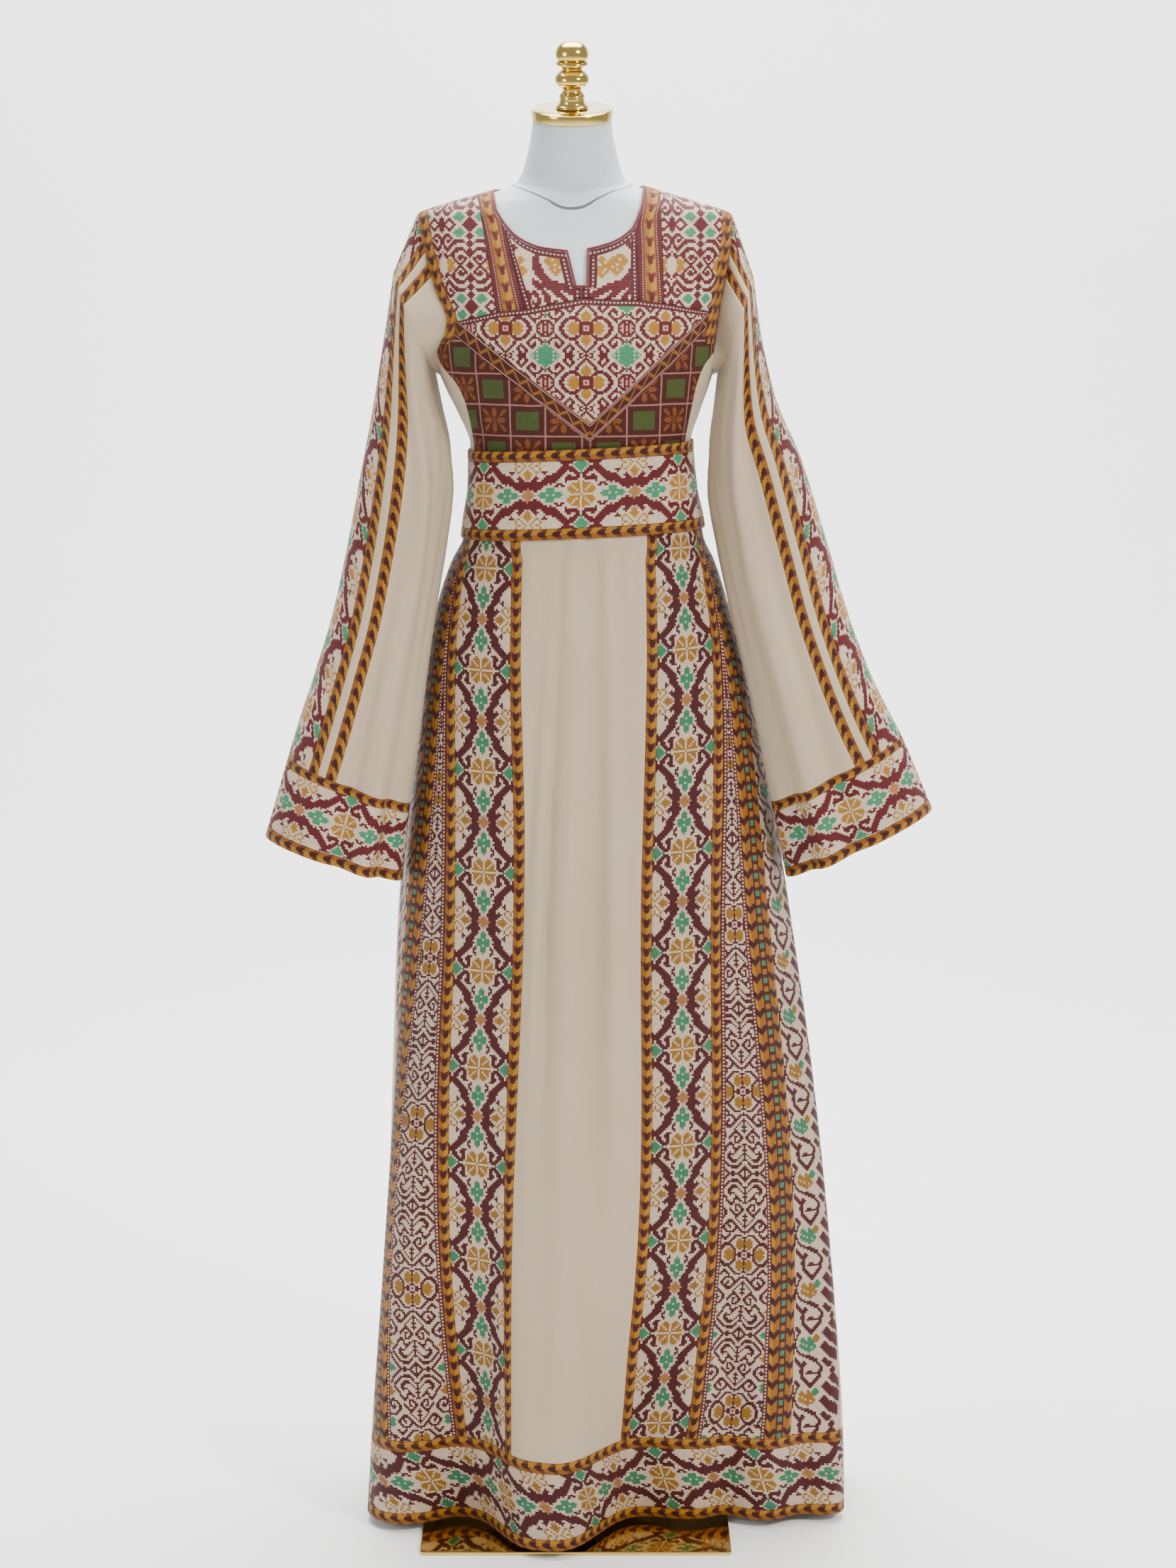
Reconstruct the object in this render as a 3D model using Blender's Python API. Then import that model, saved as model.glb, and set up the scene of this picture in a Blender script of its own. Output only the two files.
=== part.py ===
"""Embroidered thobe with its sash belt, on a limbless dress form that stands on a base plate.

Metres, +Z up, the front faces -Y. Left (-X) and right (+X) are as seen from the front. The origin is
on the floor under the middle of the base plate. Each sewn piece is a wall of cloth with a gap of
SEAM to its neighbours: the tube pieces (skirt, hem, sleeves, cuffs, belt) lie on closed sections that
are measured along their length, and the bodice pieces are filled in between named edges and laid on
the body's sections.
"""

import math

import bmesh
import bpy
import numpy as np

# Thickness of the cloth, and the gap between two pieces at a seam.
WALL = 0.0012
SEAM = 0.0003

# Sections of the dress form's body, as the cloth lies on it:
# height, middle x, half width, front depth, back depth.
BODY = (
    (1.120, 0.0090, 0.1350, 0.1010, 0.0920),
    (1.146, 0.0090, 0.1340, 0.0995, 0.0895),
    (1.170, 0.0087, 0.1310, 0.0980, 0.0870),
    (1.204, 0.0075, 0.1245, 0.0965, 0.0855),
    (1.250, 0.0055, 0.1225, 0.1010, 0.0880),
    (1.287, 0.0035, 0.1345, 0.1100, 0.0920),
    (1.315, 0.0015, 0.1463, 0.1200, 0.0950),
    (1.350, 0.0000, 0.1577, 0.1280, 0.0985),
    (1.385, 0.0000, 0.1624, 0.1210, 0.1005),
    (1.420, 0.0000, 0.1684, 0.1080, 0.1010),
    (1.447, 0.0000, 0.1741, 0.0950, 0.0980),
    (1.470, 0.0000, 0.1779, 0.0840, 0.0920),
    (1.490, -0.0005, 0.1779, 0.0730, 0.0810),
    (1.503, -0.0009, 0.1745, 0.0670, 0.0735),
    (1.516, -0.0013, 0.1404, 0.0610, 0.0670),
    (1.5295, -0.0002, 0.0934, 0.0560, 0.0600),
    (1.5350, -0.0020, 0.0778, 0.0535, 0.0570),
    (1.5400, -0.0040, 0.0640, 0.0515, 0.0545),
    (1.5460, -0.0040, 0.0585, 0.0500, 0.0525),
)
BODY_POWER = 2.3
RIDGE_LOW, RIDGE_HIGH = 1.4950, 1.5440

# The form itself lies inside the cloth: height, how far inside.
FORM_INSET = ((1.120, 0.0035), (1.250, 0.0030), (1.350, 0.0045), (1.440, 0.0030), (1.490, 0.0022),
              (1.546, 0.0022))
FORM_DROP = ((1.440, 0.0005), (1.500, 0.0024), (1.546, 0.0014))
# The form's hips and closed underside: height, middle x, half width, front depth, back depth.
FORM_LOWER = (
    (0.800, 0.0080, 0.1150, 0.0780, 0.0880),
    (0.825, 0.0080, 0.1400, 0.0940, 0.1070),
    (0.930, 0.0085, 0.1570, 0.1060, 0.1220),
    (1.020, 0.0090, 0.1500, 0.1030, 0.1140),
)
# The form's neck leans forward: height, middle y, half width, half depth, forward tilt in degrees.
NECK = (
    (1.5500, -0.004, 0.0555, 0.0490, 13.0),
    (1.5600, -0.007, 0.0522, 0.0470, 16.0),
    (1.5730, -0.011, 0.0488, 0.0452, 17.0),
    (1.5890, -0.015, 0.0455, 0.0440, 16.0),
    (1.6075, -0.021, 0.0430, 0.0430, 14.0),
)
NECK_MIDDLE = -0.0035

# Edges of the embroidered bib on the front: height, left x, right x.
BIB_EDGE = (
    (1.204, -0.1085, 0.1165),
    (1.255, -0.1127, 0.1211),
    (1.297, -0.1200, 0.1286),
    (1.320, -0.1299, 0.1335),
    (1.343, -0.1492, 0.1429),
    (1.353, -0.1522, 0.1524),
    (1.373, -0.1429, 0.1549),
    (1.388, -0.1401, 0.1567),
    (1.420, -0.1529, 0.1624),
    (1.447, -0.1609, 0.1677),
    (1.475, -0.1682, 0.1718),
    (1.503, -0.1740, 0.1733),
)
STRIPE = 0.012
BUST_FOLD_Z = 1.353
BORDER_END_Z = 1.363
# Heights where the chest seam and the V border reach the armhole border: left, right.
CHEST_SEAM_END = (1.388, 1.3985)
V_BORDER_END = (1.373, 1.3800)
# The chest seam between its ends, and the point of the V: x, height.
CHEST_SEAM = ((-0.0855, 1.3980), (-0.0548, 1.4015), (0.0070, 1.4130), (0.0692, 1.4110), (0.0968, 1.4075))
V_POINT = (0.0160, 1.2790)
V_BORDER_POINT = (0.0160, 1.2580)
# Shoulder ends of the stripes beside the neck: outer x, inner x on the left, then on the right.
NECK_STRIPE_TOP = ((-0.1070, -0.0925), (0.0930, 0.0775))
# The neckline from the left shoulder to the slit, the slit, and up to the right shoulder: x, height.
NECKLINE_LEFT = ((-0.0880, 1.5070), (-0.0785, 1.4925), (-0.0645, 1.4780), (-0.0450, 1.4680),
                 (-0.0280, 1.4645), (-0.0100, 1.4624))
SLIT = ((-0.0005, 1.4245), (0.0070, 1.4245), (0.0147, 1.4245))
NECKLINE_RIGHT = ((0.0154, 1.4647), (0.0310, 1.4685), (0.0468, 1.4745), (0.0580, 1.4820),
                  (0.0663, 1.4910), (0.0749, 1.5120))
BACK_NECK_Z = 1.5310
BACK_NECK_PLACES = (0.0, 0.012, 0.05, 0.12, 0.22, 0.35, 0.5, 0.65, 0.78, 0.88, 0.95, 0.988, 1.0)
BINDING_WIDTH = 0.0030
BINDING_WALL = 0.0018

# The back edges of the armholes on the bodice back: height, distance from the middle.
BACK_ARMHOLE = ((1.350, 0.1444), (1.385, 0.1418), (1.420, 0.1456), (1.447, 0.1520), (1.475, 0.1623),
                (1.503, 0.1735))
SIDE_SEAM_ANGLE = 115.0
SIDE_ROWS = 6
UNDERARM_Z = 1.3260

# Belt: height of its lower edge in the middle, its height, its slope across, and how far off the body.
BELT_Z = 1.1520
BELT_HEIGHT = 0.0980
BELT_SLOPE = 0.045
BELT_OFF = 0.0029
BELT_WALL = 0.0018

# Sections of the skirt: height, middle x, half width, front depth, back depth, power, x of the front.
SKIRT = (
    (0.010, 0.0460, 0.2550, 0.0800, 0.1720, 3.0, -0.0020),
    (0.110, 0.0425, 0.2570, 0.0860, 0.1700, 2.9, -0.0010),
    (0.305, 0.0360, 0.2510, 0.1000, 0.1650, 2.8, 0.0000),
    (0.540, 0.0280, 0.2370, 0.1100, 0.1600, 2.7, 0.0030),
    (0.744, 0.0190, 0.2190, 0.1160, 0.1550, 2.6, 0.0050),
    (0.900, 0.0155, 0.1980, 0.1160, 0.1480, 2.5, 0.0080),
    (1.016, 0.0110, 0.1770, 0.1130, 0.1350, 2.4, 0.0090),
    (1.079, 0.0080, 0.1610, 0.1080, 0.1140, 2.3, 0.0095),
    (1.120, 0.0085, 0.1470, 0.1040, 0.0980, 2.3, 0.0095),
    (1.146, 0.0090, 0.1343, 0.0998, 0.0898, 2.3, 0.0095),
    (1.170, 0.0087, 0.1310, 0.0980, 0.0870, 2.3, 0.0095),
    (1.204, 0.0075, 0.1245, 0.0965, 0.0855, 2.3, 0.0095),
)
SKIRT_TOP = 1.2030
# Folds of the skirt: place in half turns from the front, half width in half turns, how sharp,
# depth at the hem, height where it begins.
SKIRT_FOLDS = (
    (-0.040, 0.092, 3.0, 0.0930, 0.62),
    (-0.300, 0.070, 2.0, 0.0520, 0.70),
    (-0.215, 0.030, 2.0, -0.0080, 1.00),
    (0.120, 0.050, 2.0, -0.0110, 0.60),
    (0.265, 0.030, 2.0, -0.0120, 1.08),
    (0.345, 0.040, 2.0, 0.0120, 1.00),
    (0.455, 0.035, 2.0, 0.0260, 0.95),
    (-0.420, 0.035, 2.0, -0.0200, 1.05),
    (-0.500, 0.035, 2.0, 0.0180, 1.00),
    (0.545, 0.035, 2.0, -0.0220, 1.08),
    (0.640, 0.045, 2.0, 0.0300, 1.00),
    (0.735, 0.035, 2.0, -0.0220, 1.05),
    (0.830, 0.045, 2.0, 0.0280, 0.95),
    (0.930, 0.040, 2.0, -0.0240, 1.08),
    (-0.970, 0.045, 2.0, 0.0300, 1.00),
    (-0.865, 0.035, 2.0, -0.0220, 1.05),
    (-0.765, 0.045, 2.0, 0.0260, 0.95),
    (-0.665, 0.035, 2.0, -0.0220, 1.08),
    (-0.575, 0.040, 2.0, 0.0240, 1.00),
)
# Small gathers under the belt: place along the skirt from the front, half width, depth, length.
GATHERS = (
    (-0.058, 0.007, 0.0030, 0.075),
    (-0.038, 0.006, 0.0022, 0.050),
    (-0.017, 0.007, 0.0030, 0.090),
    (0.006, 0.006, 0.0026, 0.060),
    (0.027, 0.007, 0.0030, 0.080),
    (0.048, 0.006, 0.0022, 0.055),
    (0.064, 0.006, 0.0026, 0.070),
)
# Front pieces on each side of the centre panel: name, width at the waist, at the thigh, at the hem,
# columns. The centre panel's half widths come first.
CENTRE_HALF = (0.0710, 0.0725, 0.0820)
WIDTH_HEIGHTS = (1.204, 1.050, 0.110)
SKIRT_PIECES = (
    ("inner_stripe", (0.0120, 0.0120, 0.0120), 1),
    ("band", (0.0600, 0.0680, 0.0680), 4),
    ("outer_stripe", (0.0120, 0.0120, 0.0120), 1),
    ("lace_gore", (0.0040, 0.0050, 0.0830), 4),
    ("tile_band", (0.0260, 0.0300, 0.0330), 2),
    ("vine_band", (0.0440, 0.0560, 0.0620), 3),
)
CENTRE_COLUMNS = 14
BACK_COLUMNS = 26
SKIRT_ROWS = (0.1103, 0.240, 0.400, 0.560, 0.720, 0.860, 0.970, 1.045, 1.093, 1.125, 1.146, 1.165, SKIRT_TOP)
# Hem: bottom, top of the lower border, bottom of the upper border, top.
HEM = (0.0105, 0.0228, 0.0975, 0.1100)

# Sleeve sections from the armhole (0) to the cuff's end (10):
# place, inner x, inner height, outer x, outer height, middle y, half depth.
SLEEVE_LEFT = (
    (1.0, -0.1570, 1.3310, -0.2020, 1.4400, 0.0000, 0.0620),
    (2.0, -0.1493, 1.2920, -0.2127, 1.3700, -0.0040, 0.0580),
    (3.0, -0.1410, 1.2500, -0.2257, 1.2900, -0.0120, 0.0540),
    (4.0, -0.1390, 1.2050, -0.2383, 1.2230, -0.0220, 0.0510),
    (5.0, -0.1470, 1.1300, -0.2560, 1.1300, -0.0340, 0.0490),
    (6.0, -0.1580, 1.0600, -0.2714, 1.0620, -0.0450, 0.0490),
    (7.0, -0.1680, 0.9900, -0.2916, 0.9960, -0.0520, 0.0500),
    (8.0, -0.1770, 0.9200, -0.3080, 0.9480, -0.0560, 0.0510),
    (9.0, -0.1870, 0.8520, -0.3215, 0.9040, -0.0580, 0.0530),
    (10.0, -0.1970, 0.7640, -0.3486, 0.8140, -0.0580, 0.0560),
)
SLEEVE_RIGHT = (
    (1.0, 0.1594, 1.3310, 0.1979, 1.4350, 0.0000, 0.0620),
    (2.0, 0.1551, 1.2920, 0.2070, 1.3700, -0.0040, 0.0580),
    (3.0, 0.1505, 1.2500, 0.2235, 1.3000, -0.0120, 0.0540),
    (4.0, 0.1500, 1.2050, 0.2492, 1.2400, -0.0220, 0.0510),
    (5.0, 0.1600, 1.1350, 0.2790, 1.1470, -0.0340, 0.0490),
    (6.0, 0.1750, 1.0620, 0.3019, 1.0700, -0.0450, 0.0490),
    (7.0, 0.1910, 0.9950, 0.3259, 1.0050, -0.0520, 0.0500),
    (8.0, 0.2070, 0.9250, 0.3467, 0.9620, -0.0560, 0.0510),
    (9.0, 0.2210, 0.8540, 0.3644, 0.9280, -0.0580, 0.0530),
    (10.0, 0.2390, 0.7680, 0.4003, 0.8450, -0.0580, 0.0560),
)
# Folds of a sleeve: place round it (0 outer edge, 0.5 inner edge, front is positive), half width,
# depth at the cuff, place where it begins.
SLEEVE_FOLDS = (
    (0.270, 0.035, -0.0090, 1.0),
    (0.335, 0.030, 0.0070, 1.0),
    (0.400, 0.030, -0.0090, 2.0),
    (-0.130, 0.040, 0.0070, 2.0),
    (-0.230, 0.035, -0.0090, 1.0),
    (-0.320, 0.035, 0.0080, 1.5),
    (-0.410, 0.030, -0.0070, 2.0),
)
# Front edge of the sleeve's embroidered band, measured round from the outer edge: place, distance.
SLEEVE_BAND_FRONT = ((0.0, 0.0340), (1.0, 0.0380), (4.0, 0.0450), (9.0, 0.0520), (10.0, 0.0520))
SLEEVE_BAND_WIDTH = 0.0680
SLEEVE_PLAIN_GAP = 0.0100
SLEEVE_ROWS = (0.0, 0.45, 1.0, 2.0, 3.0, 4.0, 5.2, 6.5, 7.8, 8.997)
CUFF_ROWS = (9.0, 9.132, 9.135, 9.865, 9.868, 10.0)
CUFF_COLUMNS = 20
# The sleeve's column nearest to the bust fold is moved onto it: half a column, as a share of a turn.
FOLD_REACH = 0.0230

# Base plate, pole and flange.
PLATE = (0.355, 0.320, 0.004)
POLE_RADIUS = 0.0125
FLANGE_RADIUS = 0.045
FLANGE_HEIGHT = 0.008
POLE_X = 0.008
# Brass neck cap and finial, turned about the neck's axis: radius, height above the neck.
NECK_TILT = math.radians(14.0)
CAP = ((0.0, 0.0003), (0.0440, 0.0003), (0.0450, 0.0014), (0.0450, 0.0100), (0.0440, 0.0112), (0.0, 0.0118))
FINIAL = (
    (0.0, 0.0121), (0.0175, 0.0121), (0.0180, 0.0140), (0.0145, 0.0175), (0.0138, 0.0230), (0.0142, 0.0262),
    (0.0115, 0.0290), (0.0102, 0.0318), (0.0125, 0.0345), (0.0175, 0.0385), (0.0190, 0.0430),
    (0.0178, 0.0478), (0.0140, 0.0515), (0.0110, 0.0545), (0.0135, 0.0575), (0.0172, 0.0590),
    (0.0176, 0.0618), (0.0150, 0.0640), (0.0178, 0.0665), (0.0184, 0.0710), (0.0172, 0.0760),
    (0.0138, 0.0808), (0.0080, 0.0838), (0.0, 0.0848),
)

RING_POINTS = 720
FORM_SIDES = 32
TURNED_SIDES = 16

# Colours of the stuffs: red, green, blue in linear light, metallic, roughness.
STUFFS = {
    "cream cloth": (0.68, 0.61, 0.54, 0.0, 0.62),
    "gold stripe": (0.42, 0.19, 0.035, 0.0, 0.70),
    "red embroidery": (0.30, 0.10, 0.085, 0.0, 0.75),
    "lace embroidery": (0.46, 0.30, 0.25, 0.0, 0.75),
    "brown embroidery": (0.13, 0.035, 0.018, 0.0, 0.75),
    "dark red binding": (0.17, 0.022, 0.030, 0.0, 0.70),
    "white form cover": (0.74, 0.78, 0.80, 0.0, 0.80),
    "polished brass": (0.80, 0.58, 0.22, 1.0, 0.12),
}


def smooth(table, places):
    """Read a table at one place or many, on a curve through its rows that never overshoots."""
    rows = np.array(table, dtype=float)
    keys, values = rows[:, 0], rows[:, 1:]
    steps = np.diff(keys)[:, None]
    slopes = np.diff(values, axis=0) / steps
    before, after = slopes[:-1], slopes[1:]
    total = np.where(before * after > 0, before + after, 1.0)
    inner = np.where(before * after > 0, 2 * before * after / total, 0.0)
    tangents = np.vstack([slopes[:1], inner, slopes[-1:]])
    places = np.clip(np.asarray(places, dtype=float), keys[0], keys[-1])
    index = np.clip(np.searchsorted(keys, places, side="right") - 1, 0, len(keys) - 2)
    step = steps[index]
    t = (places - keys[index])[..., None] / step
    return (
        (2 * t**3 - 3 * t**2 + 1) * values[index]
        + (t**3 - 2 * t**2 + t) * tangents[index] * step
        + (3 * t**2 - 2 * t**3) * values[index + 1]
        + (t**3 - t**2) * tangents[index + 1] * step
    )


def body_y(x, z):
    """Depth of the body's front and back from its middle, at a front-view point."""
    middle, half, front, back = smooth(BODY, z)
    across = min(abs(x - middle) / half, 1.0)
    share = (1.0 - across**BODY_POWER) ** (1.0 / BODY_POWER)
    return front * share, back * share


def body_normal(point):
    """Outward normal of the body at a point of its surface."""

    def level(x, y, z):
        middle, half, front, back = smooth(BODY, z)
        depth = front if point[1] < 0 else back
        return (abs(x - middle) / half) ** BODY_POWER + (abs(y) / depth) ** BODY_POWER

    step = 1e-4
    slope = np.zeros(3)
    for axis in range(3):
        ahead, behind = np.array(point, dtype=float), np.array(point, dtype=float)
        ahead[axis] += step
        behind[axis] -= step
        slope[axis] = level(*ahead) - level(*behind)
    return slope / np.linalg.norm(slope)


def ridge_z(x):
    """Height of the shoulder's ridge, where front and back meet."""
    heights = np.linspace(RIDGE_LOW, RIDGE_HIGH, 400)
    sections = smooth(BODY, heights)
    reach = sections[:, 0] - sections[:, 1] if x < 0 else sections[:, 0] + sections[:, 1]
    order = np.argsort(np.abs(reach))
    return float(np.interp(abs(x), np.abs(reach)[order], heights[order]))


def on_body(x, z, front):
    """Point on the body's front or back, kept off the ridge by half a seam."""
    depths = body_y(x, z)
    if front:
        return np.array([x, -max(depths[0], SEAM / 2), z])
    return np.array([x, max(depths[1], SEAM / 2), z])


def body_at_angle(degrees, z):
    """Point on the body at an angle from the front middle, positive to the right."""
    middle, half, front, back = smooth(BODY, z)
    angle = math.radians(degrees)
    s, c = math.sin(angle), math.cos(angle)
    power = 2.0 / BODY_POWER
    x = middle + half * math.copysign(abs(s) ** power, s)
    y = -front * abs(c) ** power if c > 0 else back * abs(c) ** power
    return np.array([x, y, z])


def angle_on_body(x, z):
    """Angle from the front middle of a front point of the body."""
    middle, half, _, _ = smooth(BODY, z)
    across = min(abs(x - middle) / half, 1.0)
    return math.copysign(math.degrees(math.asin(across ** (BODY_POWER / 2))), x - middle)


def material(name):
    """The named stuff as a Principled material."""
    red, green, blue, metallic, roughness = STUFFS[name]
    stuff = bpy.data.materials.new(name)
    stuff.use_nodes = True
    shader = stuff.node_tree.nodes["Principled BSDF"]
    shader.inputs["Base Color"].default_value = (red, green, blue, 1.0)
    shader.inputs["Metallic"].default_value = metallic
    shader.inputs["Roughness"].default_value = roughness
    return stuff


def add_object(name, shape, stuff, sharp=40.0):
    """Turn a finished bmesh into a named object with its own material."""
    bmesh.ops.recalc_face_normals(shape, faces=shape.faces)
    if shape.calc_volume(signed=True) < 0:
        bmesh.ops.reverse_faces(shape, faces=shape.faces)
    mesh = bpy.data.meshes.new(name)
    shape.to_mesh(mesh)
    shape.free()
    mesh.shade_smooth()
    mesh.set_sharp_from_angle(angle=math.radians(sharp))
    mesh.materials.append(material(stuff))
    thing = bpy.data.objects.new(name, mesh)
    bpy.context.collection.objects.link(thing)
    return thing


def cloth_piece(name, inner, outer, stuff, closed=False):
    """A wall of cloth between two grids of points; a closed one is a tube along its columns."""
    rows, columns = inner.shape[:2]
    shape = bmesh.new()
    bmesh.ops.create_grid(shape, x_segments=columns - 1, y_segments=rows - 1, size=1.0)
    partner = shape.verts.layers.float_vector.new("outer")
    shape.verts.ensure_lookup_table()
    for row in range(rows):
        for column in range(columns):
            vertex = shape.verts[row * columns + column]
            vertex.co = inner[row, column]
            vertex[partner] = outer[row, column]
    if closed:
        bmesh.ops.remove_doubles(shape, verts=shape.verts, dist=1e-5)
    raised = bmesh.ops.extrude_face_region(shape, geom=shape.faces[:])
    for item in raised["geom"]:
        if isinstance(item, bmesh.types.BMVert):
            item.co = item[partner]
    shape.verts.layers.float_vector.remove(partner)
    return add_object(name, shape, stuff)


def along(points, share):
    """Point of an open line of points, where each of its stretches counts the same."""
    points = np.array(points, dtype=float)
    place = min(max(share, 0.0), 1.0) * (len(points) - 1)
    index = min(int(place), len(points) - 2)
    return points[index] + (points[index + 1] - points[index]) * (place - index)


def filled(lower, upper, left, right, columns, rows):
    """Grid of flat points between four edges (a Coons patch), half a seam inside each edge."""
    width = np.linalg.norm(along(lower, 1) - along(lower, 0)) + np.linalg.norm(along(upper, 1) - along(upper, 0))
    height = np.linalg.norm(along(left, 1) - along(left, 0)) + np.linalg.norm(along(right, 1) - along(right, 0))
    side, end = SEAM / width, SEAM / height
    grid = np.zeros((rows + 1, columns + 1, 2))
    for row in range(rows + 1):
        v = min(max(row / rows, end), 1.0 - end)
        for column in range(columns + 1):
            u = min(max(column / columns, side), 1.0 - side)
            across = (1 - v) * along(lower, u) + v * along(upper, u)
            upwards = (1 - u) * along(left, v) + u * along(right, v)
            corners = (
                (1 - u) * (1 - v) * along(lower, 0) + u * (1 - v) * along(lower, 1)
                + (1 - u) * v * along(upper, 0) + u * v * along(upper, 1)
            )
            grid[row, column] = across + upwards - corners
    return grid


def bodice_piece(name, grid, stuff, place):
    """A bodice piece: its flat grid is laid on the body by place(), then thickened outwards."""
    inner = np.array([[place(*point) for point in row] for row in grid])
    outer = np.array([[point + WALL * body_normal(point) for point in row] for row in inner])
    return cloth_piece(name, inner, outer, stuff)


def lay_front(x, z):
    """Place of a front-view point on the body's front, no higher than the shoulder's ridge."""
    return on_body(x, min(z, ridge_z(x)) if z > RIDGE_LOW else z, True)


def lay_back(x, z):
    """Place of a front-view point on the body's back, no higher than the shoulder's ridge."""
    return on_body(x, min(z, ridge_z(x)) if z > RIDGE_LOW else z, False)


def easing(share):
    """Share of the way to the ridge, with the steps closer together near it."""
    return 1.0 - (1.0 - share) ** 2.0


def bib_x(side, z):
    """Edge of the bib at a height: side 0 is left, side 1 is right."""
    return float(smooth(BIB_EDGE, z)[side])


def inward(side):
    """Direction of x towards the middle, from a side."""
    return 1.0 if side == 0 else -1.0


def bib_line(side, inset, low, steps=9):
    """The bib's edge from a height up to the ridge, moved in by inset, denser near the ridge."""
    top = ridge_z(bib_x(side, 1.503) + inward(side) * inset)
    line = []
    for step in range(steps + 1):
        z = low + (top - low) * easing(step / steps)
        line.append((bib_x(side, z) + inward(side) * inset, z))
    return line


def ridge_line(x_from, x_to, steps=4):
    """Points along the shoulder's ridge."""
    return [(x, ridge_z(x)) for x in np.linspace(x_from, x_to, steps + 1)]


def rising_line(start, top_x, steps=9):
    """A line from a point to the ridge, with its points closer together near the ridge."""
    top = ridge_z(top_x)
    line = []
    for step in range(steps + 1):
        share = easing(step / steps)
        line.append((start[0] + (top_x - start[0]) * share, start[1] + (top - start[1]) * share))
    return line


def seam_end(side):
    """Where the chest seam meets the armhole border's inner edge."""
    z = CHEST_SEAM_END[side]
    return (bib_x(side, z) + inward(side) * STRIPE, z)


def v_end(side):
    """Where the V border's lower edge meets the armhole border's inner edge."""
    z = V_BORDER_END[side]
    return (bib_x(side, z) + inward(side) * STRIPE, z)


def side_heights(side):
    """The bib's edge from its lowest point up to the bust fold."""
    return [(bib_x(side, z), z) for z in np.linspace(BIB_EDGE[0][0], BUST_FOLD_Z, SIDE_ROWS + 1)]


def underarm_line(side):
    """The armhole's lowest stretch, from the bust fold to the back, as angles and heights."""
    turn = -1.0 if side == 0 else 1.0
    x, z = side_heights(side)[-1]
    corners = [(angle_on_body(x, z), z), (turn * 76.0, UNDERARM_Z + 0.010), (turn * 90.0, UNDERARM_Z),
               (turn * 104.0, UNDERARM_Z + 0.010), (turn * SIDE_SEAM_ANGLE, BACK_ARMHOLE[0][0])]
    return [tuple(along(corners, step / 8)) for step in range(9)]


def build_bib(side, word):
    """The embroidered pieces of one side of the bodice front."""

    def piece(name, lower, upper, outside, inside, columns, rows, stuff):
        if side == 0:
            grid = filled(lower, upper, outside, inside, columns, rows)
        else:
            grid = filled(lower[::-1], upper[::-1], inside, outside, columns, rows)
        bodice_piece(f"{name}_{word}", grid, stuff, lay_front)

    end_z = CHEST_SEAM_END[side]
    step_in = inward(side)
    low_outside = [(bib_x(side, z), z) for z in (BORDER_END_Z, v_end(side)[1])]
    low_inside = [(x + step_in * STRIPE, z) for x, z in low_outside]
    outside = low_outside + bib_line(side, 0.0, end_z)
    inside = low_inside + bib_line(side, STRIPE, end_z)
    piece("armhole_border", [outside[0], inside[0]], [outside[-1], inside[-1]], outside, inside, 2, 11,
          "gold stripe")

    stripe_outer, stripe_inner = NECK_STRIPE_TOP[side]
    seam = list(CHEST_SEAM[:2]) if side == 0 else list(CHEST_SEAM[::-1][:2])
    shoulder_inside = rising_line(seam[0], stripe_outer)
    piece("shoulder_panel", [seam_end(side), seam[0]], ridge_line(inside[-1][0], stripe_outer, 3),
          bib_line(side, STRIPE, end_z), shoulder_inside, 3, 9, "lace embroidery")

    neck_tip, neck_high = NECKLINE_LEFT[:2][::-1] if side == 0 else NECKLINE_RIGHT[-2:]
    stripe_inside = [along([seam[1], neck_tip], step / 5) for step in range(5)] + [neck_tip]
    stripe_inside += [neck_high] + rising_line(neck_high, stripe_inner, 3)[1:]
    piece("neck_stripe", [seam[0], seam[1]], ridge_line(stripe_outer, stripe_inner, 2),
          shoulder_inside, stripe_inside, 2, 9, "gold stripe")

    if side == 0:
        neck = list(NECKLINE_LEFT[1:])
        slit = [SLIT[1], SLIT[0], NECKLINE_LEFT[-1]]
    else:
        neck = list(NECKLINE_RIGHT[:-1][::-1])
        slit = [SLIT[1], SLIT[2], NECKLINE_RIGHT[0]]
    middle = CHEST_SEAM[2]
    beside_stripe = [along([seam[1], neck[0]], share) for share in (0.0, 0.08, 0.16, 1.0)]
    piece("neck_yoke", [seam[1], middle], neck, beside_stripe, [middle] + slit, 4, 6, "red embroidery")

    piece("v_border", [v_end(side), V_BORDER_POINT], [seam_end(side), V_POINT],
          [v_end(side), seam_end(side)], [V_BORDER_POINT, V_POINT], 8, 1, "brown embroidery")

    edge = side_heights(side) + [outside[0]]
    top = [outside[0], inside[0], v_end(side)]
    top += [along([v_end(side), V_BORDER_POINT], step / 8) for step in range(1, 9)]
    floor = (V_POINT[0], edge[0][1])
    piece("lower_chest", [edge[0], floor], top, edge, [floor, V_BORDER_POINT], 10, SIDE_ROWS + 1,
          "brown embroidery")


def build_v_yoke():
    """The embroidered V between the chest seam and the V borders."""
    corners = [seam_end(0)] + list(CHEST_SEAM) + [seam_end(1)]
    seam = [corners[0]]
    for start, end, steps in zip(corners, corners[1:], (3, 2, 4, 4, 2, 3)):
        seam += [tuple(along([start, end], step / steps)) for step in range(1, steps + 1)]
    tip = [(V_POINT[0] - 0.002, V_POINT[1] + 0.0015), (V_POINT[0] + 0.002, V_POINT[1] + 0.0015)]
    grid = filled(tip, seam, [V_POINT, seam_end(0)], [V_POINT, seam_end(1)], 18, 8)
    bodice_piece("v_yoke", grid, "lace embroidery", lay_front)


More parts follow.
